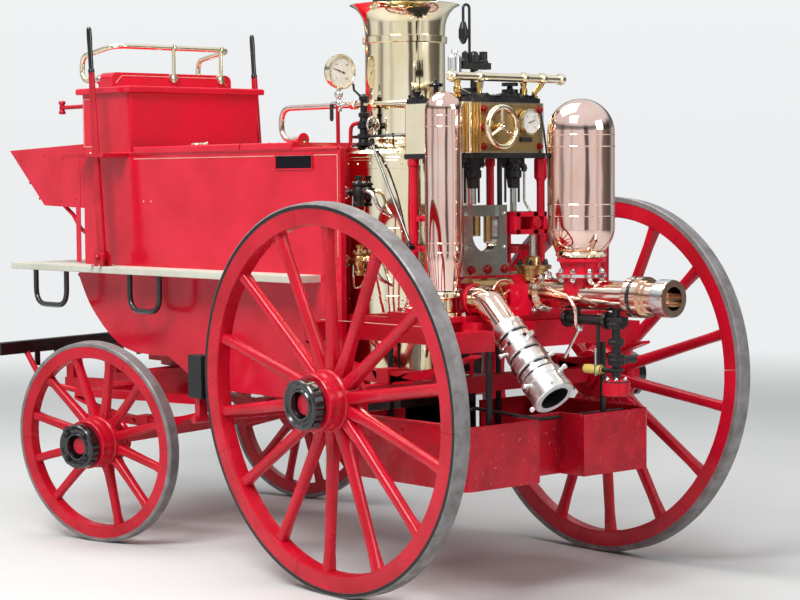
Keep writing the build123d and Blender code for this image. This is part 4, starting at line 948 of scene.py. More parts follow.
    def boards(self) -> None:
        """The foot boards in sanded paint with a pale nosing, and the irons under them."""
        low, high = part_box("foot_boards")
        piece = Piece("boards").copy_of(DECK_PAINT, "foot_boards", 0.004)
        for side in Side:
            y = side * (high.y - 0.003)
            rail = brick((low.x + 0.004, y - 0.0035, low.z + 0.002),
                         (high.x - 0.004, y + 0.0035, high.z - 0.004), 0.002)
            piece.add(DECK_PAINT, rail)
            for x in (-0.66, -0.3, 0.1, 0.5, 0.9):
                piece.add(DECK_PAINT, drum(0.008, 0, 0.0022, 0.001, 14),
                          at=moved(aft(x), side * 0.42, high.z - 0.0004))
        piece.ready("carriage", "grey_board", "foot_boards")
        irons = Piece("step_irons")
        foot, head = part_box("board_irons")
        level = foot.z + self.iron_bar
        for side in Side:
            y = side * self.iron_y
            for middle, half in self.irons:
                x, top = aft(middle), head.z - 0.001
                hanger = [(x - half, y, top), (x - half, y, level), (x + half, y, level),
                          (x + half, y, top)]
                irons.add(BLACK_ENAMEL, tube(hanger, self.iron_bar, 0.1))
            for x in (aft(middle) for middle, _ in self.irons):
                for end in (-0.12, 0.12):
                    irons.add(BLACK_ENAMEL, bolt(0.012, 0.007),
                              at=moved(x + end, side * 0.42, low.z - 0.006) @ Facing.DOWN.turn)
        irons.ready("carriage", "black_iron", "board_irons")

    def toe(self) -> None:
        """The driver's foot well with rivets along its cheeks and lines beside them."""
        piece = Piece("foot_well").copy_of(RED_ENAMEL, "toe_board", 0.003)
        rivet = lathe([(0, 0.003), (0.004, 0.0024), (0.007, 0)], 12)
        for side in Side:
            for x, z in ((-0.95, 1.54), (-0.88, 1.44), (-0.8, 1.37), (-0.62, 1.36), (-0.5, 1.37),
                         (-0.6, 1.55), (-0.75, 1.56)):
                piece.add(WORN_RED, rivet, at=placed(aft(x), side * self.half, z, side.outward))
        piece.ready("carriage", "red_paint_wood", "toe_board")

    def rail(self) -> None:
        """The brass seat rail with its two posts on bright feet that face the rear."""
        low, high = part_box("seat_rail")
        piece = Piece("guard_rail").copy_of(BRASS, "seat_rail", 0.0)
        foot = lathe([(0, -0.002), (0.021, -0.002), (0.021, 0.004), (0.013, 0.009), (0.012, 0.016),
                      (0, 0.018)], 24)
        knop = lathe([(0, -0.016), (0.012, -0.012), (0.0145, 0), (0.012, 0.012), (0, 0.016)], 20)
        for y in self.post_y:
            piece.add(NICKEL, foot, at=placed(aft(-0.236), y, 1.888, Facing.REAR))
            piece.add(BRASS, knop, at=moved(aft(-0.225), y, high.z - 0.0115))
        for side in Side:
            piece.add(NICKEL, foot, at=placed(aft(-0.336), side * 0.305, 1.877, Facing.REAR))
        piece.ready("carriage", "brass", "seat_rail")

    def build(self) -> None:
        """Builds every piece of the body."""
        self.box()
        self.seat()
        self.lids()
        self.boards()
        self.toe()
        self.rail()


@dataclass
class HandBrakes:
    """The two brake levers with their stands, shaft and blocks."""

    lever_y: float = 0.425
    lever_x: float = -0.154
    pin_z: float = 1.128
    grip_z: float = 1.90

    def lever(self, side: Side) -> None:
        """One flat red lever with its turned black grip."""
        name = f"brake_lever_{side.word}"
        y = side * self.lever_y
        piece = Piece(f"{side.word}_lever")
        foot, head = (aft(-0.154), 1.128), (aft(-0.214), self.grip_z)
        outline = arc(foot, 0.026, 185, 355, 8) + [(head[0] + 0.014, head[1]), (head[0] - 0.014, head[1])]
        piece.add(WORN_RED, slab(outline, y - 0.007, y + 0.007, Across.Y, 0.003))
        lean = Vector((head[0] - foot[0], 0, head[1] - foot[1]))
        grip = [(0, 0), (0.012, 0), (0.0135, 0.004), (0.0135, 0.012), (0.0105, 0.018), (0.0105, 0.09),
                (0.0115, 0.15),
                (0.0105, 0.182), (0.007, 0.191), (0, 0.193)]
        piece.add(BLACK_ENAMEL, lathe(grip, 24), at=moved(head[0], y, head[1] - 0.002) @ turned_to(lean))
        piece.add(WORN_RED, drum(0.02, -0.0095, 0.0095, 0.002, 24),
                  at=placed(foot[0], y, foot[1], Facing.RIGHT))
        piece.ready(f"{side.word}_brake_lever", "red_paint_iron", name)

    def stands(self) -> None:
        """The lever stands on the boards, the guide straps and the lamp studs."""
        piece = Piece("lever_stands").copy_of(WORN_RED, "side_irons", 0.0025)
        for side in Side:
            y = side * self.lever_y
            for off in (-0.024, 0.024):
                facing = Facing.RIGHT if off > 0 else Facing.LEFT
                piece.add(WORN_RED, bolt(0.02, 0.009),
                          at=placed(aft(self.lever_x), y + off, self.pin_z, facing))
            for x in (-0.03, 0.03):
                for off in (-0.034, 0.034):
                    piece.add(NICKEL, bolt(0.011, 0.006), at=moved(aft(self.lever_x) + x, y + off, 1.09))
            stud = lathe([(0, -0.03), (0.014, -0.028), (0.016, -0.02), (0.011, -0.012), (0.011, 0.012),
                          (0.016, 0.02),
                          (0.014, 0.028), (0, 0.03)], 20)
            piece.add(WORN_RED, stud, at=moved(aft(-0.65), side * 0.3, 1.768))
            piece.add(WORN_RED, drum(0.02, 0, 0.008, 0.002, 20),
                      at=placed(aft(-0.435), side * 0.3, 1.768, Facing.FRONT))
        piece.ready("carriage", "red_paint_iron", "side_irons")

    def gear(self) -> None:
        """The brake shaft and its blocks."""
        Piece("brake_shaft").copy_of(WORN_RED, "brake_beam", 0.002).ready("carriage", "red_paint_iron",
                                                                          "brake_beam")
        low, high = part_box("brake_blocks")
        piece = Piece("brake_shoes").copy_of(BLACK_IRON, "brake_blocks", 0.004)
        for side in Side:
            for z in (0.68, 0.72, 0.76):
                piece.add(STEEL, bolt(0.014, 0.008), at=placed(low.x, side * 0.705, z, Facing.FRONT))
        piece.ready("carriage", "brake_wood", "brake_blocks")

    def build(self) -> None:
        """Builds levers, stands and brake gear."""
        for side in Side:
            self.lever(side)
        self.stands()
        self.gear()


@dataclass
class Boiler:
    """The brass-cased boiler with its chimney and mountings."""

    shell: float = 0.235
    shell_top: float = 1.525
    shoulder: float = 1.6
    barrel: float = 0.151
    band_z: float = 1.965
    flare: float = 0.208
    flare_top: float = 2.098
    bands: tuple[float, ...] = (1.0, 1.25, 1.5)

    def axis(self) -> Matrix:
        """The boiler's upright axis."""
        middle = node_middle("chimney")
        return moved(middle.x, middle.y)

    def casing(self) -> None:
        """The lagged barrel below, with its bands and a seam strip of screws."""
        at = self.axis()
        low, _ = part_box("boiler_shell")
        piece = Piece("boiler_casing").copy_of(BRASS, "boiler_shell", 0.0)
        for z in self.bands:
            band = [(self.shell, z - 0.016), (self.shell + 0.003, z - 0.015),
                    (self.shell + 0.003, z + 0.015),
                    (self.shell, z + 0.016)]
            piece.add(BRASS, lathe(band, 96), at=at)
            screw = lathe([(0, 0.0022), (0.003, 0.0016), (0.0045, 0)], 10).at(Facing.REAR.turn)
            piece.add(BRASS, *ring_of(screw, 24, self.shell + 0.003), at=at @ moved(z=z))
        seam = brick((self.shell - 0.004, -0.014, low.z + 0.3), (self.shell + 0.004, 0.014, self.shell_top),
                     0.002)
        for turn in (205, 335):
            piece.add(BRASS, seam, at=at @ Matrix.Rotation(math.radians(turn), 4, "Z"))
        piece.ready("carriage", "brass", "boiler_shell")

    def chimney(self) -> None:
        """The spun shoulder, barrel, belt and flared top, with the dark stack inside."""
        at = self.axis()
        skin = 0.005
        s, b, z = self.shell, self.barrel, self.flare_top
        outer = [(s, self.shell_top), (s + 0.004, self.shell_top + 0.004),
                 (s + 0.004, self.shell_top + 0.016),
                 (s, self.shell_top + 0.02), (0.94 * s, self.shell_top + 0.036),
                 (0.8 * s, self.shell_top + 0.056),
                 (b + 0.014, self.shoulder - 0.01), (b + 0.003, self.shoulder), (b, self.shoulder + 0.02),
                 (b, self.band_z - 0.014), (b + 0.008, self.band_z - 0.011),
                 (b + 0.009, self.band_z + 0.011),
                 (b, self.band_z + 0.014)]
        # x and z shares of the trumpet curve above the belt
        bell = [(0.0, 0.2), (0.04, 0.42), (0.14, 0.6), (0.33, 0.76), (0.62, 0.9), (1.0, 0.985)]
        outer += [(b + (self.flare - b) * share, self.band_z + (z - self.band_z) * up) for share,
                  up in bell]
        rim = [(self.flare + 0.0, z - 0.001), (self.flare - 0.004, z)]
        inner = [(r - skin, h + 0.001) for r, h in reversed(outer[13:])] + [(b - skin, self.shoulder),
                                                                            (s - 0.014, self.shell_top)]
        piece = Piece("chimney_casing").add(BRASS, lathe(outer + rim + inner, 96), at=at)
        piece.ready("carriage", "brass", "chimney")
        cap = Piece("stack").copy_of(SOOTY_IRON, "chimney_cap", 0.0)
        cap.ready("carriage", "black_iron", "chimney_cap")

    def fittings(self) -> None:
        """The valve cluster on the shoulder, the hoop round it and the feed valves on the barrel."""
        middle = node_middle("chimney")
        x, y = aft(1.29), -0.2
        piece = Piece("boiler_mountings")
        stack = [(0, 1.57), (0.032, 1.57), (0.032, 1.578), (0.02, 1.582), (0.017, 1.596), (0.024, 1.598),
                 (0.024, 1.612),
                 (0.016, 1.616), (0.016, 1.63), (0.024, 1.634), (0.024, 1.656), (0.017, 1.66),
                 (0.014, 1.674),
                 (0.02, 1.677), (0.02, 1.69), (0.013, 1.694), (0.013, 1.735), (0.018, 1.739),
                 (0.018, 1.752),
                 (0.012, 1.757), (0.008, 1.761), (0, 1.761)]
        piece.add(BLACK_IRON, lathe(stack, 24), at=moved(x, y))
        piece.add(BLACK_IRON, drum(0.013, 0.0, 0.036, 0.002, 6), at=placed(x + 0.01, y, 1.645, Facing.REAR))
        wheel_at = placed(x + 0.053, y, 1.645, Facing.REAR)
        piece.add(NICKEL, hoop(0.028, 0.004, 28, 8), at=wheel_at)
        piece.add(NICKEL, *[brick((-0.027, -0.003, -0.002), (0.027, 0.003, 0.002), 0.001).at(
            Matrix.Rotation(math.radians(60 * n), 4, "Z")) for n in range(3)], at=wheel_at)
        piece.add(BLACK_IRON, drum(0.006, -0.05, 0.006, 0.001, 12), at=wheel_at)
        piece.add(BLACK_ENAMEL, tube([(x, y - 0.012, 1.75), (x - 0.02, y - 0.03, 1.775),
                                      (x - 0.022, y - 0.032, 1.8)],
                                     0.0045, 0.01, 8))
        for z, finish in ((1.395, BLACK_IRON), (1.14, GUNMETAL)):
            self.feed_valve(piece, aft(1.332), -0.262, z, finish)
        ring_z = self.shoulder + 0.004
        piece.add(BLACK_IRON, hoop(self.barrel + 0.055, 0.0045, 72, 8), at=moved(middle.x, 0, ring_z))
        pin = drum(0.0038, self.shell_top + 0.03, ring_z + 0.01, 0.001, 10)
        piece.add(BLACK_IRON, *ring_of(pin, 10, self.barrel + 0.055, 18), at=moved(middle.x, 0))
        rod = [(aft(1.372), -0.23, 1.575), (aft(1.601), -0.25, 1.215), (aft(1.606), -0.25, 1.13)]
        piece.add(BLACK_ENAMEL, tube(rod, 0.005, 0.05, 10))
        knob = lathe([(0, -0.018), (0.009, -0.014), (0.012, 0), (0.009, 0.014), (0, 0.018)], 16)
        piece.add(BLACK_ENAMEL, knob, at=moved(aft(1.37), -0.23, 1.58))
        piece.add(BLACK_IRON, drum(0.011, -0.014, 0.016, 0.002, 14),
                  at=placed(aft(1.604), -0.25, 1.2, Facing.RIGHT))
        piece.ready("carriage", "black_iron", "boiler_fittings")

    def feed_valve(self, piece: Piece, x: float, y: float, z: float, finish: Finish) -> None:
        """A flanged valve standing on the barrel's side, with bonnet, handwheel and bright pipes.

        Args:
            piece: The piece that takes it.
            x: Its place along the engine.
            y: Its place across.
            z: The height of its branch.
            finish: What its body is made of.
        """
        body = [(0, -0.05), (0.02, -0.05), (0.02, -0.038), (0.014, -0.034), (0.018, -0.018),
                (0.024, -0.006),
                (0.024, 0.012), (0.018, 0.026), (0.027, 0.028), (0.027, 0.036), (0.014, 0.041),
                (0.012, 0.05),
                (0.016, 0.054), (0.016, 0.062), (0, 0.064)]
        piece.add(finish, lathe(body, 28), at=moved(x, y, z))
        piece.add(finish, drum(0.013, 0, 0.062, 0.001, 18), at=placed(x, y, z, Facing.RIGHT))
        piece.add(finish, drum(0.025, 0.02, 0.032, 0.002, 24), at=placed(x, y, z, Facing.RIGHT))
        piece.add(finish, bolt(0.008, 0.006).at(Facing.LEFT.turn),
                  at=moved(x, y + 0.012, z))
        piece.add(NICKEL, *ring_of(bolt(0.008, 0.005).at(moved(z=0.036)), 6, 0.0205), at=moved(x, y, z))
        piece.add(finish, drum(0.0125, 0, 0.05, 0.001, 16), at=placed(x, y, z, Facing.FRONT))
        piece.add(NICKEL, drum(0.008, 0.05, 0.088, 0.001, 14), at=placed(x, y, z, Facing.FRONT))
        wheel = placed(x - 0.079, y, z, Facing.FRONT)
        piece.add(NICKEL, hoop(0.021, 0.0034, 28, 8), at=wheel)
        piece.add(NICKEL, *[brick((-0.02, -0.0028, -0.002), (0.02, 0.0028, 0.002), 0.0008).at(
            Matrix.Rotation(math.radians(60 * n), 4, "Z")) for n in range(3)], at=wheel)
        piece.add(NICKEL, tube([(x - 0.03, y - 0.004, z - 0.012), (x - 0.03, y - 0.006, z - 0.06),
                                (x - 0.05, y + 0.012, z - 0.1), (x - 0.05, y + 0.045, z - 0.1)], 0.0055,
                                0.03, 12))
        piece.add(NICKEL, tube([(x + 0.012, y, z + 0.006), (x + 0.075, y, z + 0.004),
                                (x + 0.1, y + 0.012, z - 0.06),
                                (x + 0.1, y + 0.07, z - 0.085)], 0.0075, 0.045, 14))
        piece.add(finish, drum(0.0135, 0.0, 0.03, 0.002, 6),
                  at=placed(x + 0.006, y, z + 0.006, Facing.REAR))

    def fire(self) -> None:
        """The fire door, its hinge and the ash pan."""
        low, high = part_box("fire_door")
        door = Piece("fire_door_flap").copy_of(BLACK_IRON, "fire_door", 0.002)
        for y in (-0.055, 0.055):
            strap = brick((high.x - 0.031, y - 0.011, low.z + 0.012),
                          (high.x - 0.0265, y + 0.011, high.z - 0.004), 0.001)
            door.add(BLACK_IRON, strap)
            for z in (0.03, 0.07):
                door.add(BLACK_IRON, bolt(0.009, 0.005),
                         at=placed(high.x - 0.028, y, low.z + z, Facing.REAR))
        door.ready("fire_door", "black_iron", "fire_door")
        Piece("ash_tray").copy_of(SOOTY_IRON, "ash_pan", 0.002).ready("carriage", "black_iron", "ash_pan")

    def build(self) -> None:
        """Builds boiler, chimney, fittings and fire door."""
        self.casing()
        self.chimney()
        self.fittings()
        self.fire()


def number_form(text: str, height: float) -> Form:
    """A plain number, cut as a thin flat form and centred on its own origin."""
    curve = bpy.data.curves.new("number", "FONT")
    curve.body, curve.size, curve.extrude = text, height, 0.0003
    curve.align_x, curve.align_y = "CENTER", "CENTER"
    curve.resolution_u = 2
    holder = bpy.data.objects.new("number", curve)
    mesh = bpy.data.meshes.new_from_object(holder)
    form = Form([v.co.copy() for v in mesh.vertices], [tuple(p.vertices) for p in mesh.polygons])
    bpy.data.objects.remove(holder)
    bpy.data.curves.remove(curve)
    bpy.data.meshes.remove(mesh)
    return form


@dataclass
class Gauges:
    """Pressure gauge with its pipes and cocks, and the dial that every gauge here shares."""

    dial_radius: float = 0.066
    gauge: Triple = (1.127, -0.2, 1.849)
    pipe_radius: float = 0.011
    pipe_high: float = 1.722
    pipe_low: float = 1.599

    def dial(self, piece: Piece, place: Matrix, radius: float, needle_turn: float, case: Finish,
             top: int) -> None:
        """A round gauge facing its own Z, with ticks, plain numbers and a needle.

        Args:
            piece: The piece that takes it.
            place: The middle of its back.
            radius: The case's radius.
            needle_turn: The needle's turn in degrees from the lowest number.
            case: What the case is made of.
            top: The highest number on the scale.
        """
        deep, r = 0.04 * radius / 0.066, radius
        ring = [(0, 0), (0.8 * r, 0), (0.9 * r, 0.1 * deep), (0.94 * r, 0.3 * deep),
                (0.94 * r, 0.75 * deep),
                (r, 0.8 * deep), (r, 0.96 * deep), (0.97 * r, deep), (0.9 * r, deep),
                (0.87 * r, 0.92 * deep),
                (0.87 * r, 0.84 * deep), (0, 0.84 * deep)]
        piece.add(case, lathe(ring, 56), at=place)
        face = 0.845 * deep
        piece.add(DIAL_WHITE, drum(0.868 * r, face - 0.0006, face + 0.0004, 0.0001, 48), at=place)
        sweep, start = 270, 225
        for n in range(31):
            turn = Matrix.Rotation(math.radians(start - sweep * n / 30), 4, "Z")
            long = n % 5 == 0
            tick = brick(((0.7 if long else 0.76) * r, -0.009 * r, face),
                         (0.81 * r, 0.009 * r, face + 0.0009), 0)
            piece.add(BLACK_ENAMEL, tick, at=place @ turn)
        for n in range(0, 4):
            turn = math.radians(start - sweep * n / 3)
            number = number_form(str(top * n // 3), 0.17 * r)
            spot = moved(0.55 * r * math.cos(turn), 0.55 * r * math.sin(turn), face + 0.0003)
            piece.add(BLACK_ENAMEL, number, at=place @ spot)
        needle = slab([(-0.26 * r, -0.035 * r), (-0.1 * r, -0.05 * r), (0.62 * r, -0.008 * r),
                       (0.62 * r, 0.008 * r),
                       (-0.1 * r, 0.05 * r), (-0.26 * r, 0.035 * r)], face + 0.001, face + 0.002, Across.Z,
                       0)
        piece.add(BLACK_ENAMEL, needle, at=place @ Matrix.Rotation(math.radians(start - needle_turn), 4,
                                                                   "Z"))
        piece.add(BRASS, drum(0.06 * r, face, face + 0.004, 0.001, 16), at=place)

    def steam_pipe(self, piece: Piece) -> None:
        """The copper pipe: from the block past the boiler's mountings and round to the deck."""
        y, high, low = self.gauge[1], self.pipe_high, self.pipe_low
        bend_x = 0.79
        route = [(aft(1.29), y, high), (aft(bend_x), y, high), (aft(bend_x), y, low), (aft(0.935), y, low)]
        piece.add(COPPER, tube(route, self.pipe_radius, 0.062, 20))
        piece.add(BRASS, tube([(aft(1.28), y, high), (aft(1.43), y, high), (aft(1.548), y + 0.03, high)],
                              0.0095, 0.05, 16))
        union = lathe([(0, -0.014), (0.017, -0.014), (0.019, -0.006), (0.019, 0.006), (0.017, 0.014),
                       (0, 0.014)], 6)
        for x in (1.235, 1.345):
            piece.add(BRASS, union, at=placed(aft(x), y, high, Facing.REAR))
        flange = [(0, 0), (0.026, 0), (0.026, 0.005), (0.017, 0.007), (0.016, 0.02), (0, 0.02)]
        piece.add(RED_ENAMEL, lathe(flange, 24), at=placed(aft(0.93), y, low, Facing.FRONT))
        piece.add(RED_ENAMEL, brick((aft(0.9), y - 0.016, 1.586), (aft(0.93), y + 0.016, low + 0.004),
                                    0.003))

    def siphon(self, piece: Piece) -> None:
        """The red siphon pipe under the gauge, its bright cocks and their black handle."""
        x, y = aft(1.151), self.gauge[1] - 0.012
        loop = [(x, y, 1.735), (x + 0.002, y, 1.556), (aft(1.226), y, 1.556), (aft(1.227), y, 1.648),
                (aft(1.285), y, 1.655)]
        piece.add(WORN_RED, tube(loop, 0.0075, 0.034, 16))
        cock = [(0, 1.7), (0.012, 1.7), (0.012, 1.71), (0.009, 1.714), (0.013, 1.722), (0.014, 1.73),
                (0.013, 1.738),
                (0.009, 1.743), (0.009, 1.75), (0.014, 1.755), (0.0165, 1.764), (0.014, 1.773),
                (0.008, 1.778),
                (0.008, 1.788), (0, 1.788)]
        piece.add(NICKEL, lathe(cock, 24), at=moved(x, y + 0.006))
        piece.add(NICKEL, drum(0.007, -0.01, 0.03, 0.002, 14), at=placed(x - 0.006, y, 1.732, Facing.FRONT))
        grip = [(0, 0.002), (0.005, 0), (0.0075, -0.012), (0.0075, -0.06), (0.005, -0.068), (0, -0.069)]
        piece.add(BLACK_ENAMEL, lathe(grip, 16), at=moved(aft(1.115), y, 1.733))

    def build(self) -> None:
        """Builds the pressure gauge and its pipes."""
        piece = Piece("steam_gauge")
        x, y, z = aft(self.gauge[0]), self.gauge[1], self.gauge[2]
        upright = Matrix(((0, 0, 1, x), (1, 0, 0, y), (0, 1, 0, z), (0, 0, 0, 1)))
        self.dial(piece, upright, self.dial_radius, 62, BRASS, 300)
        self.steam_pipe(piece)
        self.siphon(piece)
        piece.ready("carriage", "brass", "pressure_gauge")


@dataclass
class SteamEngine:
    """The brass-cased cylinders, their covers, columns, slide frames and rods."""

    column_radius: float = 0.015
    cylinder_y: float = 0.1
    wheel: float = 0.07
    gland_x: float = 1.775
    slide_x: tuple[float, float] = (1.815, 1.855)
    slide_y: float = -0.113
    pump_rod: tuple[float, float] = (1.866, 0.108)
    crosshead_z: tuple[float, float] = (1.243, 1.324)

    def cylinders(self) -> None:
        """The cased block: bright sides, a bronze rear cover with red nuts and a gold corner strip."""
        low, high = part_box("cylinder_block")
        half, front, ease = (high.y - low.y) / 2, low.x - 0.014, 0.03
        rear = [(high.x - ease + ease * math.cos(a), side * (half - ease + ease * math.sin(a)))
                for side, turns in ((Side.RIGHT, range(90, -1, -15)), (Side.LEFT, range(0, 91, 15)))
                for a in (math.radians(t) for t in turns)]
        shell = slab([(front, -half), (front, half)] + rear, low.z, high.z, Across.Z, 0.0)
        piece = Piece("cylinder_casing").add(BRASS, shell)
        plate = brick((high.x - 0.002, 0.03 - half, low.z + 0.006),
                      (high.x + 0.006, half - 0.045, high.z - 0.006), 0.003)
        piece.add(GUNMETAL, plate)
        for y in (0.078 - half, -0.05, half - 0.045):
            for z in (low.z + 0.024, high.z - 0.024):
                piece.add(NUT_RED, bolt(0.019, 0.011), at=placed(high.x + 0.006, y, z, Facing.REAR))
        piece.add(NUT_RED, bolt(0.019, 0.011), at=placed(high.x + 0.006, 0.078 - half, (low.z + high.z) / 2,
                                                         Facing.REAR))
        for n, radius in enumerate((0.0105, 0.0075, 0.0075, 0.006)):
            x, y = (high.x - 0.013, 0.012 - half) if n == 0 else (high.x + 0.002, 0.02 - half + 0.0145 * n)
            piece.add(OLD_BRASS, tube([(x, y, low.z + 0.003), (x, y, high.z - 0.003)], radius, 0.01, 16))
        piece.add(WORN_RED, tube([(front - 0.002, 0.004 - half, low.z + 0.002),
                                  (front - 0.002, 0.004 - half, high.z - 0.002)],
                                 0.0035, 0.01, 12))
        for side in Side:
            seam = [(low.x + 0.1, side * (half + 0.0005), low.z + 0.004),
                    (low.x + 0.1, side * (half + 0.0005), high.z - 0.004)]
            piece.add(BRASS, tube(seam, 0.003, 0.01, 10))
        piece.ready("carriage", "brass", "cylinder_block")

    def covers(self) -> None:
        """The black covers with rings of nuts, the safety valves and the lubricator on top."""
        block_low, block_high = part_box("cylinder_block")
        top = block_high.z + 0.018
        piece = Piece("cylinder_lids").copy_of(BLACK_IRON, "cylinder_covers", 0.0015)
        nut = bolt(0.015, 0.012)
        for side in Side:
            piece.add(BLACK_IRON, *ring_of(nut, 8, 0.066, 22),
                      at=moved(aft(1.76), side * self.cylinder_y, top))
        width = block_high.y - block_low.y
        for x in (block_low.x + 0.022, block_high.x - 0.022):
            for share in (0.12, 0.31, 0.5, 0.69, 0.88):
                piece.add(BLACK_IRON, nut, at=moved(x, block_low.y + share * width, top))
        front = block_low.x - 0.014
        piece.add(BLACK_IRON, brick((front, block_low.y + 0.004, block_high.z),
                                    (front + 0.06, block_high.y - 0.004, top), 0.002))
        piece.add(BLACK_IRON, brick((front - 0.004, block_low.y - 0.006, block_low.z - 0.018),
                                    (front + 0.06, block_high.y + 0.006, block_low.z), 0.002))
        piece.add(BLACK_IRON, lathe([(0, 0), (0.02, 0), (0.02, 0.008), (0.013, 0.014), (0.013, 0.02),
                                     (0.018, 0.022),
                                     (0.018, 0.028), (0, 0.029)], 20),
                                     at=moved(front + 0.026, block_low.y + 0.03, top))
        cup = [(0, 1.818), (0.02, 1.818), (0.025, 1.822), (0.025, 1.878), (0.02, 1.884), (0.008, 1.886),
               (0.008, 1.892),
               (0.012, 1.895), (0.01, 1.904), (0, 1.906)]
        piece.add(NICKEL, lathe(cup, 32), at=moved(aft(1.72), -0.135))
        valve = [(0, top), (0.016, top), (0.016, top + 0.008), (0.009, top + 0.012), (0.014, top + 0.022),
                 (0.014, top + 0.034), (0.009, top + 0.042), (0.012, top + 0.05), (0.012, top + 0.06),
                 (0, top + 0.06)]
        piece.add(OLD_BRASS, lathe(valve, 24), at=moved(aft(1.81), -0.205))
        piece.add(OLD_BRASS, lathe(valve, 24), at=moved(aft(1.79), 0.14))
        piece.add(NICKEL, tube([(aft(1.81), -0.19, top + 0.028), (aft(1.81), -0.12, top + 0.004),
                                (aft(1.81), -0.085, top + 0.03), (aft(1.81), -0.08, top + 0.06)], 0.003,
                                0.02, 10))
        wheel = moved(aft(1.63), -0.145, top + 0.05)
        piece.add(BLACK_ENAMEL, hoop(0.024, 0.0035, 28, 8), at=wheel)
        piece.add(BLACK_ENAMEL, drum(0.005, -0.01, 0.022, 0.002, 12), at=wheel)
        for x, y, r in ((1.72, -0.084, 0.012), (1.72, -0.04, 0.02), (1.72, 0.006, 0.0145)):
            cap = lathe([(0, 1.862), (1.25 * r, 1.862), (1.25 * r, 1.868), (r, 1.872), (r, 1.884),
                         (0.6 * r, 1.9), (0, 1.904)], 20)
            piece.add(BLACK_IRON, cap, at=moved(aft(x), y))
        piece.ready("carriage", "black_iron", "cylinder_covers")

    def columns(self) -> None:
        """The red columns with turned heads and feet, and the rails that brace them."""
        low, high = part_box("columns")
        r, top, foot = self.column_radius, high.z, low.z
        profile = [(0, foot), (2.2 * r, foot), (2.2 * r, foot + 0.01), (1.4 * r, foot + 0.016),
                   (r, foot + 0.03),
                   (r, top - 0.085), (1.25 * r, top - 0.078), (1.6 * r, top - 0.07), (1.6 * r, top - 0.005),
                   (1.4 * r, top), (0, top)]
        piece = Piece("engine_columns")
        plain = profile[:5] + [(r, top - 0.03), (1.3 * r, top - 0.024), (1.3 * r, top), (0, top)]
        for x, y, turned in ((1.558, -0.19, plain), (1.558, 0.19, plain), (1.828, 0.188, profile)):
            piece.add(RED_ENAMEL, lathe(turned, 24), at=moved(aft(x), y))
            piece.add(NICKEL, *ring_of(bolt(0.009, 0.006).at(moved(z=foot + 0.013)), 4, 1.75 * r, 45),
                      at=moved(aft(x), y))
        for side, end in ((Side.LEFT, 1.815), (Side.RIGHT, 1.828)):
            y = side * 0.188
            for z in (1.18, 1.29):
                piece.add(WORN_RED, brick((aft(1.558), y - 0.006, z), (aft(end), y + 0.006, z + 0.022),
                                          0.002))
                for x in (1.6, 1.7):
                    facing = Facing.LEFT if side is Side.LEFT else Facing.RIGHT
                    piece.add(WORN_RED, bolt(0.012, 0.007),
                              at=placed(aft(x), y + side * 0.006, z + 0.011, facing))
            piece.add(WORN_RED, brick((aft(1.618), y - 0.004, 1.1), (aft(1.668), y + 0.004, 1.3), 0.001))
        piece.ready("carriage", "red_paint_iron", "columns")

    def slides(self) -> None:
        """The ground slide frame with its open slot, the two rods in it and three red nuts on its foot."""
        piece = Piece("guide_frame").copy_of(STEEL, "slide_frames", 0.0025)
        front, rear = self.slide_x
        middle = aft((front + rear) / 2)
        for off, low in ((-0.028, 1.24), (0.028, 1.215)):
            rod = [(0, low), (0.011, low), (0.0155, low + 0.006), (0.0155, 1.309), (0, 1.309)]
            piece.add(GUNMETAL, lathe(rod, 24), at=moved(middle, self.slide_y + off))
        for y in (-0.195, -0.115, -0.032):
            piece.add(NUT_RED, bolt(0.023, 0.014), at=placed(aft(rear + 0.01), y, 1.122, Facing.REAR))
        for y in (-0.205, -0.021):
            for z in (1.2, 1.32):
                piece.add(STEEL, bolt(0.012, 0.007), at=placed(aft(rear), y, z, Facing.REAR))
        piece.ready("carriage", "gunmetal", "slide_frames")

    def motion(self) -> None:
        """Glands and rods of both engines, and the red crosshead of the right one."""
        low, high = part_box("piston_rods")
        top = high.z
        piece = Piece("rods_and_glands")
        for side in Side:
            x, y = aft(self.gland_x), side * self.cylinder_y
            gland = [(0, top - 0.108), (0.018, top - 0.108), (0.02, top - 0.104), (0.024, top - 0.074),
                     (0.031, top - 0.068),
                     (0.031, top - 0.044), (0.027, top - 0.042), (0.027, top - 0.036), (0.031, top - 0.034),
                     (0.031, top - 0.02), (0.042, top - 0.016), (0.042, top), (0, top)]
            piece.add(BLACK_IRON, lathe(gland, 32), at=moved(x, y))
            piece.add(BLACK_IRON, *ring_of(bolt(0.012, 0.014).at(Facing.DOWN.turn), 4, 0.036, 45),
                      at=moved(x, y, top - 0.016))
            end = 1.352 if side is Side.LEFT else self.crosshead_z[1]
            piece.add(STEEL, drum(0.012, end, top - 0.1, 0.001, 24), at=moved(x, y))
            for off in (-0.034, 0.034):
                piece.add(BLACK_IRON, drum(0.0045, top - 0.16, top - 0.01, 0.001, 10),
                          at=moved(x - 0.006, y + off))
        z0, z1 = self.crosshead_z
        x0, x1 = aft(self.gland_x - 0.024), aft(self.pump_rod[0] + 0.018)
        for a, b, c, d in ((0.01, 0.165, z0, z0 + 0.018), (0.01, 0.165, z1 - 0.018, z1),
                           (0.01, 0.032, z0, z1),
                           (0.096, 0.122, z0, z1), (0.149, 0.165, z0, z1)):
            piece.add(RED_ENAMEL, brick((x0, a, c), (x1, b, d), 0.002))
        piece.add(WORN_RED, drum(0.019, 0, 0.016, 0.002, 24),
                  at=placed(x1 - 0.004, self.pump_rod[1], (z0 + z1) / 2, Facing.REAR))
        piece.add(BLACK_IRON, brick((aft(1.775), 0.018, 1.12), (aft(1.789), 0.032, top), 0.002))
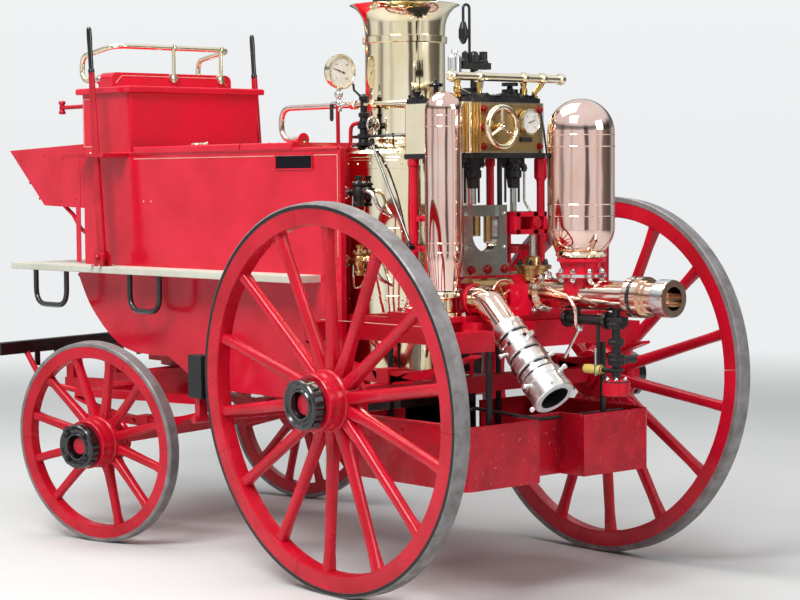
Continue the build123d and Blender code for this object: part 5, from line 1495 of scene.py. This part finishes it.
        piece.add(STEEL, tube([(aft(1.78), 0.151, top - 0.02), (aft(1.78), 0.151, 1.36),
                               (aft(1.81), 0.151, z1)], 0.0045, 0.03, 10))
        piece.add(BLACK_ENAMEL, lathe([(0, -0.016), (0.009, -0.012), (0.012, 0), (0.009, 0.012),
                                       (0, 0.016)], 18),
                  at=moved(aft(1.78), 0.151, 1.482))
        piece.ready("carriage", "black_iron", "piston_rods")

    def side_work(self) -> None:
        """The bronze pump governor and the thin bright pipe behind the tall vessel."""
        piece = Piece("governor")
        case = [(0, 1.33), (0.012, 1.33), (0.014, 1.345), (0.02, 1.352), (0.02, 1.47), (0.024, 1.476),
                (0.024, 1.49),
                (0.012, 1.5), (0.012, 1.517), (0, 1.517)]
        piece.add(GUNMETAL, lathe(case, 28), at=moved(aft(1.618), -0.165))
        piece.add(BLACK_IRON, drum(0.006, 1.202, 1.335, 0.001, 14), at=moved(aft(1.618), -0.165))
        route = [(aft(1.655), -0.18, 1.517), (aft(1.655), -0.18, 1.4), (aft(1.63), -0.205, 1.24),
                 (aft(1.63), -0.19, 1.2)]
        piece.add(NICKEL, tube(route, 0.0045, 0.06, 12))
        piece.ready("carriage", "gunmetal")

    def top_works(self) -> None:
        """The cross pipe over the cylinders, the handwheel and the small gauge."""
        low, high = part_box("cylinder_block")
        top = high.z + 0.018
        x, z = aft(1.81), 1.806
        piece = Piece("cross_pipe")
        piece.add(BRASS, drum(0.015, -0.25, 0.325, 0.004, 32), at=placed(x, 0, z, Facing.RIGHT))
        collar = lathe([(0, -0.012), (0.019, -0.012), (0.021, -0.006), (0.021, 0.006), (0.019, 0.012),
                        (0, 0.012)], 28)
        for y in (-0.23, -0.1, 0.12, 0.215, 0.31):
            piece.add(BRASS, collar, at=placed(x, y, z, Facing.RIGHT))
        stand = [(0, top), (0.02, top), (0.02, top + 0.005), (0.01, top + 0.01), (0.008, top + 0.03),
                 (0.01, z - 0.02),
                 (0.012, z - 0.012), (0, z - 0.012)]
        for y in (-0.1, 0.12):
            piece.add(OLD_BRASS, lathe(stand, 24), at=moved(x, y))
        elbow = [(x, 0.215, z), (x, 0.215, z - 0.02), (x - 0.012, 0.185, top + 0.02),
                 (x - 0.012, 0.185, top - 0.002)]
        piece.add(OLD_BRASS, tube(elbow, 0.0095, 0.02, 16))
        piece.add(OLD_BRASS, drum(0.015, top, top + 0.012, 0.002, 6), at=moved(x - 0.012, 0.185))
        piece.ready("carriage", "brass", "top_pipe")
        fit = Piece("regulator")
        wheel = placed(aft(1.925), -0.097, 1.625, Facing.REAR)
        fit.add(BRASS, hoop(self.wheel, 0.0105, 64, 16), at=wheel)
        spoke = lathe([(0, 0), (0.009, 0), (0.006, 0.03), (0.0065, 0.066), (0, 0.066)],
                      12).at(Facing.REAR.turn)
        fit.add(BRASS, *ring_of(spoke, 3, 0.0, 90), at=wheel)
        fit.add(BRASS, lathe([(0, -0.012), (0.014, -0.01), (0.016, 0), (0.012, 0.008), (0, 0.01)], 20),
                at=wheel)
        fit.add(NICKEL, hexagon(0.014, 0.008), at=wheel @ moved(z=0.008))
        fit.add(GUNMETAL, lathe([(0, -0.075), (0.026, -0.075), (0.026, -0.06), (0.014, -0.052),
                                 (0.012, -0.02),
                                 (0.008, -0.012), (0, -0.012)], 20), at=wheel)
        face = Matrix(((0, 0, 1, aft(1.862)), (1, 0, 0, 0.083), (0, 1, 0, 1.646), (0, 0, 0, 1)))
        Gauges().dial(fit, face, 0.046, 205, BRASS, 150)
        fit.add(GUNMETAL, drum(0.02, -0.012, 0.002, 0.001, 20), at=face)
        fit.add(BRASS, drum(0.012, -0.006, 0.004, 0.001, 16), at=face)
        fit.add(BLACK_IRON, brick((aft(1.85), 0.058, 1.575), (aft(1.868), 0.108, 1.592), 0.003))
        drop = [(aft(1.86), 0.16, 1.69), (aft(1.868), 0.165, 1.62), (aft(1.868), 0.19, 1.48),
                (aft(1.86), 0.2, 1.2)]
        fit.add(BLACK_ENAMEL, tube(drop, 0.004, 0.05, 10))
        fit.ready("carriage", "brass", "block_fittings")

    def build(self) -> None:
        """Builds the engine above the bed plate."""
        self.cylinders()
        self.covers()
        self.columns()
        self.slides()
        self.motion()
        self.side_work()
        self.top_works()


@dataclass
class PumpEnd:
    """Pump casting, vessels, suction and delivery."""

    suction_y: float = -0.2
    suction_start: tuple[float, float] = (2.04551, 0.92969)
    suction_slope: float = 44.0
    coupling_bore: float = 0.05
    coupling_long: float = 0.33
    delivery_z: float = 1.042
    pump_top: float = 1.1

    def bed(self) -> None:
        """The bed plate with its bolts."""
        low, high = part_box("bed_plate")
        piece = Piece("bed").copy_of(WORN_RED, "bed_plate", 0.002)
        for x in (1.58, 1.66, 1.74, 1.82, 1.9):
            piece.add(NICKEL, bolt(0.014, 0.009), at=moved(aft(x), -0.262, 0.965))
            piece.add(NICKEL, bolt(0.014, 0.009), at=moved(aft(x), 0.262, 0.965))
        piece.ready("carriage", "red_paint_iron", "bed_plate")

    def pump(self) -> None:
        """The red pump casting with its bronze seat, dome and right barrel."""
        top = self.pump_top
        piece = Piece("pump_casting").copy_of(RED_ENAMEL, "pump_body", 0.002)
        seat = brick((aft(1.692), -0.2035, top - 0.0245), (aft(1.8655), 0.2035, top + 0.0004), 0.002)
        piece.add(GUNMETAL, seat)
        dome = lathe([(0, 0), (0.0425, 0), (0.0425, 0.19), (0.036, 0.196), (0, 0.196)], 40)
        piece.add(GUNMETAL, dome, at=placed(aft(1.856), -0.206, 1.052, Facing.RIGHT))
        barrel = [(0, top - 0.024), (0.0565, top - 0.024), (0.0565, top + 0.015), (0.0685, top + 0.0175),
                  (0.0685, top + 0.0305),
                  (0.06, top + 0.0325), (0.0305, top + 0.033), (0.0265, top + 0.058), (0.018, top + 0.064),
                  (0, top + 0.064)]
        at = moved(aft(1.866), 0.108)
        piece.add(GUNMETAL, lathe(barrel, 48), at=at)
        piece.add(BLACK_IRON, *ring_of(bolt(0.014, 0.016), 6, 0.054, 10), at=at @ moved(z=top + 0.0305))
        piece.add(STEEL, drum(0.0125, top + 0.06, 1.242, 0.001, 24), at=at)
        piece.add(WORN_RED, lathe([(0, -0.012), (0.026, -0.012), (0.028, 0), (0.026, 0.012), (0, 0.012)],
                                  28), at=moved(aft(1.8), 0.075, 1.185))
        rib = [(0, 0.967), (0.024, 0.967), (0.024, 1.04), (0.02, 1.052), (0.012, 1.058), (0, 1.06)]
        for x, y in ((1.79, -0.226), (1.85, -0.226)):
            piece.add(RED_ENAMEL, lathe(rib, 24), at=moved(aft(x), y))
        piece.add(RED_ENAMEL, brick((aft(1.7), -0.262, 0.966), (aft(1.872), -0.222, 0.984), 0.004))
        for y in (-0.04, 0.03, 0.1, 0.17):
            piece.add(NICKEL, bolt(0.014, 0.01), at=placed(aft(2.02), y, 0.98, Facing.REAR))
        cock = [(0, -0.03), (0.014, -0.03), (0.014, -0.02), (0.009, -0.014), (0.015, 0), (0.009, 0.014),
                (0.013, 0.02),
                (0.013, 0.03), (0, 0.03)]
        piece.add(NICKEL, lathe(cock, 24), at=moved(aft(2.035), 0.012, 1.085))
        piece.add(NICKEL, drum(0.006, 0.0, 0.03, 0.002, 12),
                  at=placed(aft(2.035), 0.012, 1.085, Facing.REAR))
        piece.ready("carriage", "gunmetal", "pump_body")

    def copper_vessel(self) -> None:
        """The large air vessel: barrel, full domes, raised bands and a bottom collar."""
        low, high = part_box("air_vessel")
        centre = (low + high) / 2
        r = (high.y - low.y) / 2 - 0.003
        top = arc((0, high.z - r), r, 0, 90, 18)
        bottom = arc((0, low.z + r - 0.008), r, -64, 0, 14)
        profile = [(0, low.z), (0.062, low.z)] + bottom + top
        piece = Piece("air_chamber").add(COPPER, lathe(profile, 128), at=moved(centre.x, centre.y))
        for z, thick in ((high.z - 0.125, 0.0016), (high.z - 0.165, 0.0022), (low.z + 0.185, 0.0022),
                         (low.z + 0.145, 0.0014)):
            piece.add(COPPER, hoop(r, thick, 96, 8), at=moved(centre.x, centre.y, z))
        collar = [(0.058, low.z + 0.006), (0.084, low.z + 0.004), (0.09, low.z + 0.012),
                  (0.083, low.z + 0.022),
                  (0.06, low.z + 0.02)]
        piece.add(BRASS, lathe(collar, 64), at=moved(centre.x, centre.y))
        piece.ready("carriage", "copper", "air_vessel")
        base = Piece("chamber_foot").copy_of(RED_ENAMEL, "vessel_base", 0.0)
        base.add(NICKEL, lathe([(0.05, -0.005), (0.088, -0.005), (0.088, 0.005), (0.05, 0.005)], 48),
                 at=moved(centre.x, centre.y, 1.108))
        base.add(NICKEL, *ring_of(bolt(0.018, 0.012), 8, 0.074, 22), at=moved(centre.x, centre.y, 1.117))
        base.add(NICKEL, *ring_of(bolt(0.018, 0.012).at(Facing.DOWN.turn), 8, 0.074, 22),
                 at=moved(centre.x, centre.y, 1.1))
        base.ready("carriage", "red_paint_iron", "vessel_base")

    def tall(self) -> None:
        """The tall narrow vessel with its beads, tapered foot and joint."""
        low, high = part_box("tall_vessel")
        r, x, y = 0.066, aft(1.842), -0.3
        top, foot = high.z, 1.05
        taper = [(0.04, foot), (0.046, foot + 0.004), (0.054, foot + 0.05), (0.061, foot + 0.1),
                 (r, foot + 0.14)]
        profile = [(0, foot)] + taper + arc((0, top - r), r, 0, 90, 14)
        piece = Piece("tall_chamber").add(COPPER, lathe(profile, 96), at=moved(x, y))
        for z, thick in ((top - 0.084, 0.0014), (top - 0.122, 0.002), (foot + 0.17, 0.002),
                         (foot + 0.138, 0.0014)):
            piece.add(COPPER, hoop(r, thick, 72, 8), at=moved(x, y, z))
        stub = [(0, low.z), (0.05, low.z), (0.05, low.z + 0.012), (0.034, low.z + 0.02),
                (0.031, foot - 0.03),
                (0.05, foot - 0.024), (0.056, foot - 0.018), (0.056, foot - 0.006), (0.05, foot), (0, foot)]
        piece.add(BRASS, lathe(stub, 40), at=moved(x, y))
        piece.add(NICKEL, *ring_of(bolt(0.012, 0.008), 6, 0.047), at=moved(x, y, foot - 0.006))
        piece.ready("carriage", "copper", "tall_vessel")

    def coupling(self) -> None:
        """The plated coupling: four rings with radial lugs, black joint rings between, and its bore."""
        place = moved(aft(self.suction_start[0]), self.suction_y, self.suction_start[1]) @ Matrix.Rotation(
            math.radians(90 + self.suction_slope), 4, "Y")
        piece = Piece("suction_union")
        # start, length and radius of each ring along the coupling
        for start, long, r in ((0, 0.052, 0.061), (0.062, 0.074, 0.064), (0.146, 0.052, 0.068),
                               (0.206, 0.022, 0.066),
                               (0.236, 0.094, 0.076)):
            end, e = start + long, 0.004
            ring = [(0.052, start), (r - e, start), (r, start + e), (r, end - e), (r - e, end),
                    (0.052, end)]
            if long > 0.06:
                ring[3:3] = [(r, start + 0.3 * long), (r - 0.0025, start + 0.33 * long),
                             (r - 0.0025, end - 0.3 * long),
                             (r, end - 0.27 * long)]
            piece.add(SATIN_NICKEL, lathe(ring, 56), at=place)
        sleeve = [(0.044, 0.001), (0.0565, 0.001), (0.0565, 0.326), (self.coupling_bore, 0.33),
                  (self.coupling_bore, self.coupling_long - 0.126), (0.044, self.coupling_long - 0.126)]
        piece.add(BLACK_IRON, lathe(sleeve, 56), at=place)
        for mid, r in ((0.057, 0.0595), (0.141, 0.062), (0.202, 0.0635), (0.232, 0.0655)):
            piece.add(BLACK_ENAMEL, lathe([(0.054, mid - 0.0045), (r, mid - 0.004), (r, mid + 0.004),
                                           (0.054, mid + 0.0045)], 56),
                      at=place)
        knob = [(0, 0), (0.0075, 0), (0.0065, 0.012), (0.0085, 0.018), (0.0095, 0.022), (0.0085, 0.028),
                (0, 0.03)]
        # middle of each set of lugs, reach, count and turn
        for mid, reach, count, turn in ((0.026, 0.084, 2, 24), (0.099, 0.086, 3, 58), (0.172, 0.092, 3, 4),
                                        (0.262, 0.1, 3, 34), (0.308, 0.096, 3, 94)):
            lug = lathe(knob, 16).at(Facing.REAR.turn)
            piece.add(SATIN_NICKEL, *ring_of(lug, count, reach - 0.03, turn), at=place @ moved(z=mid))
        screw = bolt(0.009, 0.005).at(Facing.REAR.turn)
        piece.add(BLACK_IRON, *ring_of(screw, 6, 0.0635, 12), at=place @ moved(z=0.09))
        piece.ready("carriage", "bright_coupling", "suction_coupling")

    def pipes(self) -> None:
        """Suction elbow, delivery pipe and the small handwheel between them."""
        elbow = Piece("suction_bend").copy_of(ROSE_BRONZE, "suction_elbow", 0.0)
        flange = [(0.04, 0), (0.0545, 0), (0.0565, 0.003), (0.0565, 0.014), (0.0545, 0.0165),
                  (0.04, 0.0165)]
        elbow.add(RED_ENAMEL, lathe(flange, 48), at=placed(aft(1.88), self.suction_y, 1.02, Facing.REAR))
        elbow.ready("carriage", "copper", "suction_elbow")
        z = self.delivery_z
        piece = Piece("delivery_main").copy_of(ROSE_BRONZE, "delivery_pipe", 0.0)
        for x, facing in ((2.5, Facing.REAR), (2.484, Facing.FRONT)):
            piece.add(NICKEL, *ring_of(bolt(0.015, 0.009), 8, 0.0605, 22), at=placed(aft(x), 0, z, facing))
        piece.add(NICKEL, *ring_of(bolt(0.013, 0.009), 8, 0.058, 22),
                  at=placed(aft(2.038), 0, z, Facing.REAR))
        end = [(0.04, 0.905), (0.062, 0.905), (0.0635, 0.91), (0.0635, 0.952), (0.06, 0.96), (0.04, 0.96)]
        piece.add(NICKEL, lathe([(r, long - 0.001) for r, long in end], 56),
                  at=placed(aft(1.68), 0, z, Facing.REAR))
        piece.add(BLACK_ENAMEL, lathe([(0.05, 0), (0.068, 0), (0.068, 0.016), (0.05, 0.016)], 48),
                  at=placed(aft(2.4825), 0, z, Facing.REAR))
        drain = [(aft(2.06), -0.05, 1.085), (aft(2.119), -0.075, 1.062), (aft(2.225), -0.075, 1.04),
                 (aft(2.262), -0.075, 0.993),
                 (aft(2.256), -0.07, 0.93), (aft(2.2), -0.02, 0.92)]
        piece.add(COPPER, tube(drain, 0.006, 0.05, 14))
        wheel = placed(aft(1.918), -0.088, 1.03, Facing.REAR)
        piece.add(BRASS, hoop(0.054, 0.0055, 48, 12), at=wheel)
        piece.add(BRASS, *ring_of(drum(0.0045, 0, 0.052, 0.001, 10).at(Facing.REAR.turn), 4, 0.0, 30),
                  at=wheel)
        piece.add(BRASS, drum(0.011, -0.03, 0.012, 0.002, 16), at=wheel)
        piece.ready("carriage", "copper", "delivery_pipe")

    def drains(self) -> None:
        """The drain main, valve stack, lever with its wooden handle and the red drum."""
        piece = Piece("drain_gear").copy_of(BLACK_IRON, "pump_valves", 0.001)
        x = aft(VALVE_STACK_X)
        for z, r in ((0.945, 0.034), (0.885, 0.03), (0.84, 0.026), (0.822, 0.031), (0.79, 0.026)):
            rim = lathe([(0, -0.005), (r - 0.002, -0.005), (r, -0.003), (r, 0.003), (r - 0.002, 0.005),
                         (0, 0.005)], 32)
            piece.add(BLACK_IRON, rim, at=moved(x, 0, z))
        piece.add(NICKEL, *ring_of(bolt(0.009, 0.007), 6, 0.023), at=moved(x, 0, 0.95))
        drum_form = [(0, 0.7), (0.044, 0.7), (0.0475, 0.704), (0.0475, 0.744), (0.044, 0.753),
                     (0.02, 0.758), (0, 0.758)]
        piece.add(WORN_RED, lathe(drum_form, 40), at=moved(x, 0))
        piece.add(NICKEL, *ring_of(bolt(0.011, 0.007), 6, 0.034, 12), at=moved(x, 0, 0.756))
        handle = [(0, 0), (0.011, 0), (0.0155, 0.006), (0.0165, 0.03), (0.0155, 0.06), (0.0165, 0.08),
                  (0.012, 0.088), (0, 0.088)]
        piece.add(YELLOW_WOOD, lathe(handle, 24), at=placed(aft(2.229), 0, 0.786, Facing.REAR))
        piece.add(NICKEL, tube([(aft(2.216), -0.012, 0.925), (aft(2.146), -0.012, 0.82)], 0.0055, 0.01, 12))
        piece.add(NICKEL, lathe([(0, -0.013), (0.01, -0.01), (0.013, 0), (0.01, 0.01), (0, 0.013)], 18),
                  at=moved(aft(2.216), -0.012, 0.925))
        piece.add(STEEL, drum(0.0055, 0.765, 0.86, 0.001, 12), at=moved(aft(2.295), -0.012))
        flange = [(0, -0.008), (0.03, -0.008), (0.031, -0.005), (0.031, 0.005), (0.03, 0.008), (0, 0.008)]
        for at_x in (2.15, 2.34):
            piece.add(BLACK_ENAMEL, lathe(flange, 28),
                      at=placed(aft(at_x), 0, self.delivery_z - 0.086, Facing.REAR))
        piece.ready("carriage", "black_iron", "pump_valves")

    def build(self) -> None:
        """Builds the pump end."""
        self.bed()
        self.pump()
        self.copper_vessel()
        self.tall()
        self.coupling()
        self.pipes()
        self.drains()


@dataclass
class UnderGear:
    """Frame, axles, springs, fore-carriage and the rear tray."""

    edge_line: float = 0.0028

    def dressed(self) -> None:
        """The iron pieces that keep their own shape, with eased edges and a line along the frame."""
        main = [("frame", "chassis", 0.003), ("rear_axle", "hind_axle", 0.0015),
                ("rear_springs", "hind_springs", 0.0015),
                ("top_plate", "turntable", 0.003)]
        for node, name, edge in main:
            piece = Piece(name).copy_of(WORN_RED, node, edge)
            if node == "frame":
                low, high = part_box(node)
                for side in Side:
                    y = side * (high.y if side is Side.RIGHT else -low.y)
                    piece.add(LINE_GOLD, tube([(aft(1.33), y, 0.936), (aft(1.95), y, 0.936)],
                                              self.edge_line / 2, 0.01, 6))
            piece.ready("carriage", "red_paint_iron", node)
        fore = [("fore_frame", "fore_carriage_frame", WORN_RED, 0.002, "red_paint_iron"),
                ("front_axle", "fore_axle", WORN_RED, 0.0015, "red_paint_iron"),
                ("front_springs", "fore_springs", WORN_RED, 0.0015, "red_paint_iron"),
                ("splinter_bar", "draw_bar", BLACK_ENAMEL, 0.004, "black_iron")]
        for node, name, finish, edge, slot in fore:
            Piece(name).copy_of(finish, node, edge).ready("fore_carriage", slot, node)

    def tray(self) -> None:
        """The coal tray with its edge bead, and the rods that hang it with their brace across."""
        low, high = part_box("foot_box")
        piece = Piece("coal_bunker").copy_of(CHIPPED_RED, "foot_box", 0.002)
        for side in Side:
            y = side * (high.y - 0.002)
            piece.add(CHIPPED_RED, tube([(low.x + 0.04, y, high.z), (high.x - 0.06, y, high.z)], 0.006,
                                        0.02, 10))
            for x in (low.x + 0.08, low.x + 0.3, high.x - 0.1):
                piece.add(CHIPPED_RED, bolt(0.012, 0.006),
                          at=placed(x, side * high.y, high.z - 0.03, side.outward))
        piece.ready("carriage", "red_paint_iron", "foot_box")
        rods = Piece("tray_rods").copy_of(BLACK_IRON, "box_stays", 0.0)
        rods.add(BLACK_IRON, tube([(aft(2.002), -0.44, 0.6), (aft(2.002), -0.314, 0.654),
                                   (aft(2.002), 0.0, 0.59),
                                   (aft(2.002), 0.44, 0.59)], 0.0065, 0.05, 12))
        rods.ready("carriage", "black_iron", "box_stays")

    def build(self) -> None:
        """Builds the under gear."""
        self.dressed()
        self.tray()


@dataclass
class Studio:
    """Floor, lamps, world and camera."""

    width: int = 800
    height: int = 600
    lens_px: float = 2083.2
    place: Triple = (6.451, -5.188, 1.4455)
    yaw: float = 0.857
    pitch: float = 0.0581
    roll: float = -0.0076
    sensor: float = 36.0
    floor_size: float = 60.0
    ambient: float = 0.3
    # sine of the height above the horizon, and the colour there
    sky: tuple[tuple[float, str], ...] = (
        (0.1, "#F0F2F3"), (0.17, "#9CA1A5"), (0.3, "#777D82"), (0.42, "#E4E9ED"),
    )
    # degrees round from the camera, and how much of the surround polished metal sees there
    cards: tuple[tuple[float, str], ...] = (
        (-166, "#57504E"), (-156, "#C4BFBD"), (-138, "#4A4446"), (-118, "#5B5356"), (-108, "#E9EAEB"),
        (-84, "#FFFFFF"),
        (-76, "#C9C4C4"), (-66, "#8F8A8D"), (-58, "#F2F3F4"), (-42, "#FFFFFF"), (-34, "#DAD6D6"),
        (-26, "#FFFFFF"),
        (10, "#FFFFFF"), (16, "#4E4648"), (25, "#5D5456"), (30, "#F2F3F4"), (48, "#FFFFFF"),
        (58, "#D8D3D2"),
        (72, "#FFFFFF"), (82, "#7A6A60"), (100, "#4A423E"), (118, "#3E3A38"), (132, "#D5D8DA"),
        (156, "#8E8A89"),
    )
    floor_fade: tuple[float, float] = (4.6, 10.0)

    def camera(self) -> None:
        """The camera, as the photo was taken."""
        data = bpy.data.cameras.new("camera")
        data.sensor_width = self.sensor
        data.lens = self.lens_px / self.width * self.sensor
        data.clip_end = 200
        cam = bpy.data.objects.new("camera", data)
        look = Vector((-math.sin(self.yaw) * math.cos(self.pitch),
                       math.cos(self.yaw) * math.cos(self.pitch),
                       -math.sin(self.pitch)))
        turn = look.to_track_quat("-Z", "Y").to_matrix().to_4x4()
        cam.matrix_world = Matrix.Translation(self.place) @ turn @ Matrix.Rotation(self.roll, 4, "Z")
        bpy.context.scene.collection.objects.link(cam)
        bpy.context.scene.camera = cam

    def floor(self) -> None:
        """A pale floor that keeps the engine's shadow."""
        half = self.floor_size / 2
        mesh = bpy.data.meshes.new("floor")
        mesh.from_pydata([(-half, -half, 0), (half, -half, 0), (half, half, 0), (-half, half, 0)], [],
                         [(0, 1, 2, 3)])
        made = bpy.data.materials.new("studio_floor")
        made.use_nodes = True
        tree = made.node_tree
        tree.nodes.clear()
        place = add_node(tree, "ShaderNodeTexCoord", {}).outputs["Object"]
        grain = add_node(tree, "ShaderNodeTexNoise", {"Scale": 1.2, "Detail": 3.0},
                         {"Vector": place}).outputs["Fac"]
        tint = add_node(
            tree, "ShaderNodeMixRGB", {"Color1": linear("#D3D4D2"), "Color2": linear("#C9CAC8")},
            {"Fac": grain}
        ).outputs[0]
        shader = add_node(tree, "ShaderNodeBsdfPrincipled", {"Roughness": 0.8}, {"Base Color": tint})
        away = add_node(tree, "ShaderNodeVectorMath", {"operation": "LENGTH"}, {0: place}).outputs["Value"]
        fade = add_node(
            tree, "ShaderNodeMapRange",
            {"interpolation_type": "SMOOTHSTEP", "From Min": self.floor_fade[0],
             "From Max": self.floor_fade[1]},
            {"Value": away},
        ).outputs["Result"]
        clear = add_node(tree, "ShaderNodeBsdfTransparent", {}).outputs[0]
        mixed = add_node(tree, "ShaderNodeMixShader", {},
                         {0: fade, 1: shader.outputs[0], 2: clear}).outputs[0]
        add_node(tree, "ShaderNodeOutputMaterial", {}, {"Surface": mixed})
        mesh.materials.append(made)
        floor = bpy.data.objects.new("floor", mesh)
        bpy.context.scene.collection.objects.link(floor)

    def lamps(self) -> None:
        """Three soft boxes."""
        # name, place, size, watts
        rows = [("key", (2.6, -5.8, 7.4), 3.6, 740.0), ("fill", (7.5, 2.5, 4.0), 3.0, 190.0),
                ("top", (-2.0, -1.0, 7.5), 5.0, 430.0)]
        for name, place, size, watts in rows:
            data = bpy.data.lights.new(name, "AREA")
            data.size, data.energy = size, watts
            lamp = bpy.data.objects.new(name, data)
            turn = (Vector((0, 0, 1.0)) - Vector(place)).to_track_quat("-Z", "Y").to_matrix().to_4x4()
            lamp.matrix_world = Matrix.Translation(place) @ turn
            bpy.context.scene.collection.objects.link(lamp)

    def world(self) -> None:
        """A pale surround with a darker band above the view, as a soft box's edge gives polished metal."""
        world = bpy.data.worlds.new("surround")
        bpy.context.scene.world = world
        world.use_nodes = True
        tree = world.node_tree
        tree.nodes.clear()
        spot = add_node(tree, "ShaderNodeTexCoord", {}).outputs["Generated"]
        height = add_node(tree, "ShaderNodeSeparateXYZ", {}, {"Vector": spot}).outputs["Z"]
        ramp = add_node(tree, "ShaderNodeValToRGB", {}, {"Fac": height})
        stops = ramp.color_ramp.elements
        stops[0].position, stops[0].color = 0.0, linear("#ECEEEF")
        stops[1].position, stops[1].color = 1.0, linear("#F4F6F8")
        for share, code in self.sky:
            stops.new(share).color = linear(code)
        rays = add_node(tree, "ShaderNodeLightPath", {}).outputs
        turned = add_node(tree, "ShaderNodeMapping", {"Rotation": (0, 0, math.radians(46))},
                          {"Vector": spot}).outputs[0]
        flat = add_node(tree, "ShaderNodeSeparateXYZ", {}, {"Vector": turned}).outputs
        angle = add_node(
            tree, "ShaderNodeMath", {"operation": "ARCTAN2"}, {0: flat["Y"], 1: flat["X"]}
        ).outputs[0]
        share = add_node(
            tree, "ShaderNodeMapRange", {"From Min": -math.pi, "From Max": math.pi}, {"Value": angle}
        ).outputs["Result"]
        ring = add_node(tree, "ShaderNodeValToRGB", {}, {"Fac": share})
        stops = ring.color_ramp.elements
        stops[0].color = stops[1].color = linear("#8A8F92")
        for degrees, code in self.cards:
            stops.new((degrees + 180) / 360).color = linear(code)
        low_down = add_node(
            tree, "ShaderNodeMapRange", {"From Min": 0.5, "From Max": 0.2, "To Max": 0.92},
            {"Value": height}
        ).outputs["Result"]
        metal_sees = add_node(
            tree, "ShaderNodeMath", {"operation": "MULTIPLY"}, {0: low_down, 1: rays["Is Glossy Ray"]}
        ).outputs[0]
        shown = add_node(
            tree, "ShaderNodeMixRGB", {"blend_type": "MULTIPLY"},
            {"Fac": metal_sees, "Color1": ramp.outputs[0], "Color2": ring.outputs[0]}
        ).outputs[0]
        any_ray = add_node(
            tree, "ShaderNodeMath", {"operation": "MAXIMUM"},
            {0: rays["Is Camera Ray"], 1: rays["Is Glossy Ray"]}
        ).outputs[0]
        seen = add_node(
            tree, "ShaderNodeMath", {"operation": "MAXIMUM"}, {0: any_ray, 1: rays["Is Transmission Ray"]}
        ).outputs[0]
        ambient = add_node(tree, "ShaderNodeBackground",
                           {"Color": linear("#DDE2E8"), "Strength": self.ambient})
        view = add_node(tree, "ShaderNodeBackground", {"Strength": 1.0}, {"Color": shown})
        mix = add_node(
            tree, "ShaderNodeMixShader", {}, {0: seen, 1: ambient.outputs[0], 2: view.outputs[0]}
        )
        add_node(tree, "ShaderNodeOutputWorld", {}, {"Surface": mix.outputs[0]})

    def build(self) -> None:
        """Builds the stage."""
        self.camera()
        self.floor()
        self.lamps()
        self.world()


def main() -> None:
    """Builds the engine's looks and its studio."""
    logging.basicConfig(level=logging.INFO, format="%(name)s: %(message)s")
    bpy.context.scene.view_settings.view_transform = "Standard"
    Studio().build()
    for side in Side:
        Wheel("rear", side, 0.686, 0.062, 0.020, 0.060, 0.110, 14, 8.0).build()
        gap = (8,) if side is Side.LEFT else ()
        Wheel("front", side, 0.405, 0.050, 0.018, 0.048, 0.104, 12, 15.0, gap).build()
    for part in (HoseBody(), HandBrakes(), Boiler(), Gauges(), SteamEngine(), PumpEnd(), UnderGear()):
        part.build()
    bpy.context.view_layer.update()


if __name__ == "__main__":
    main()
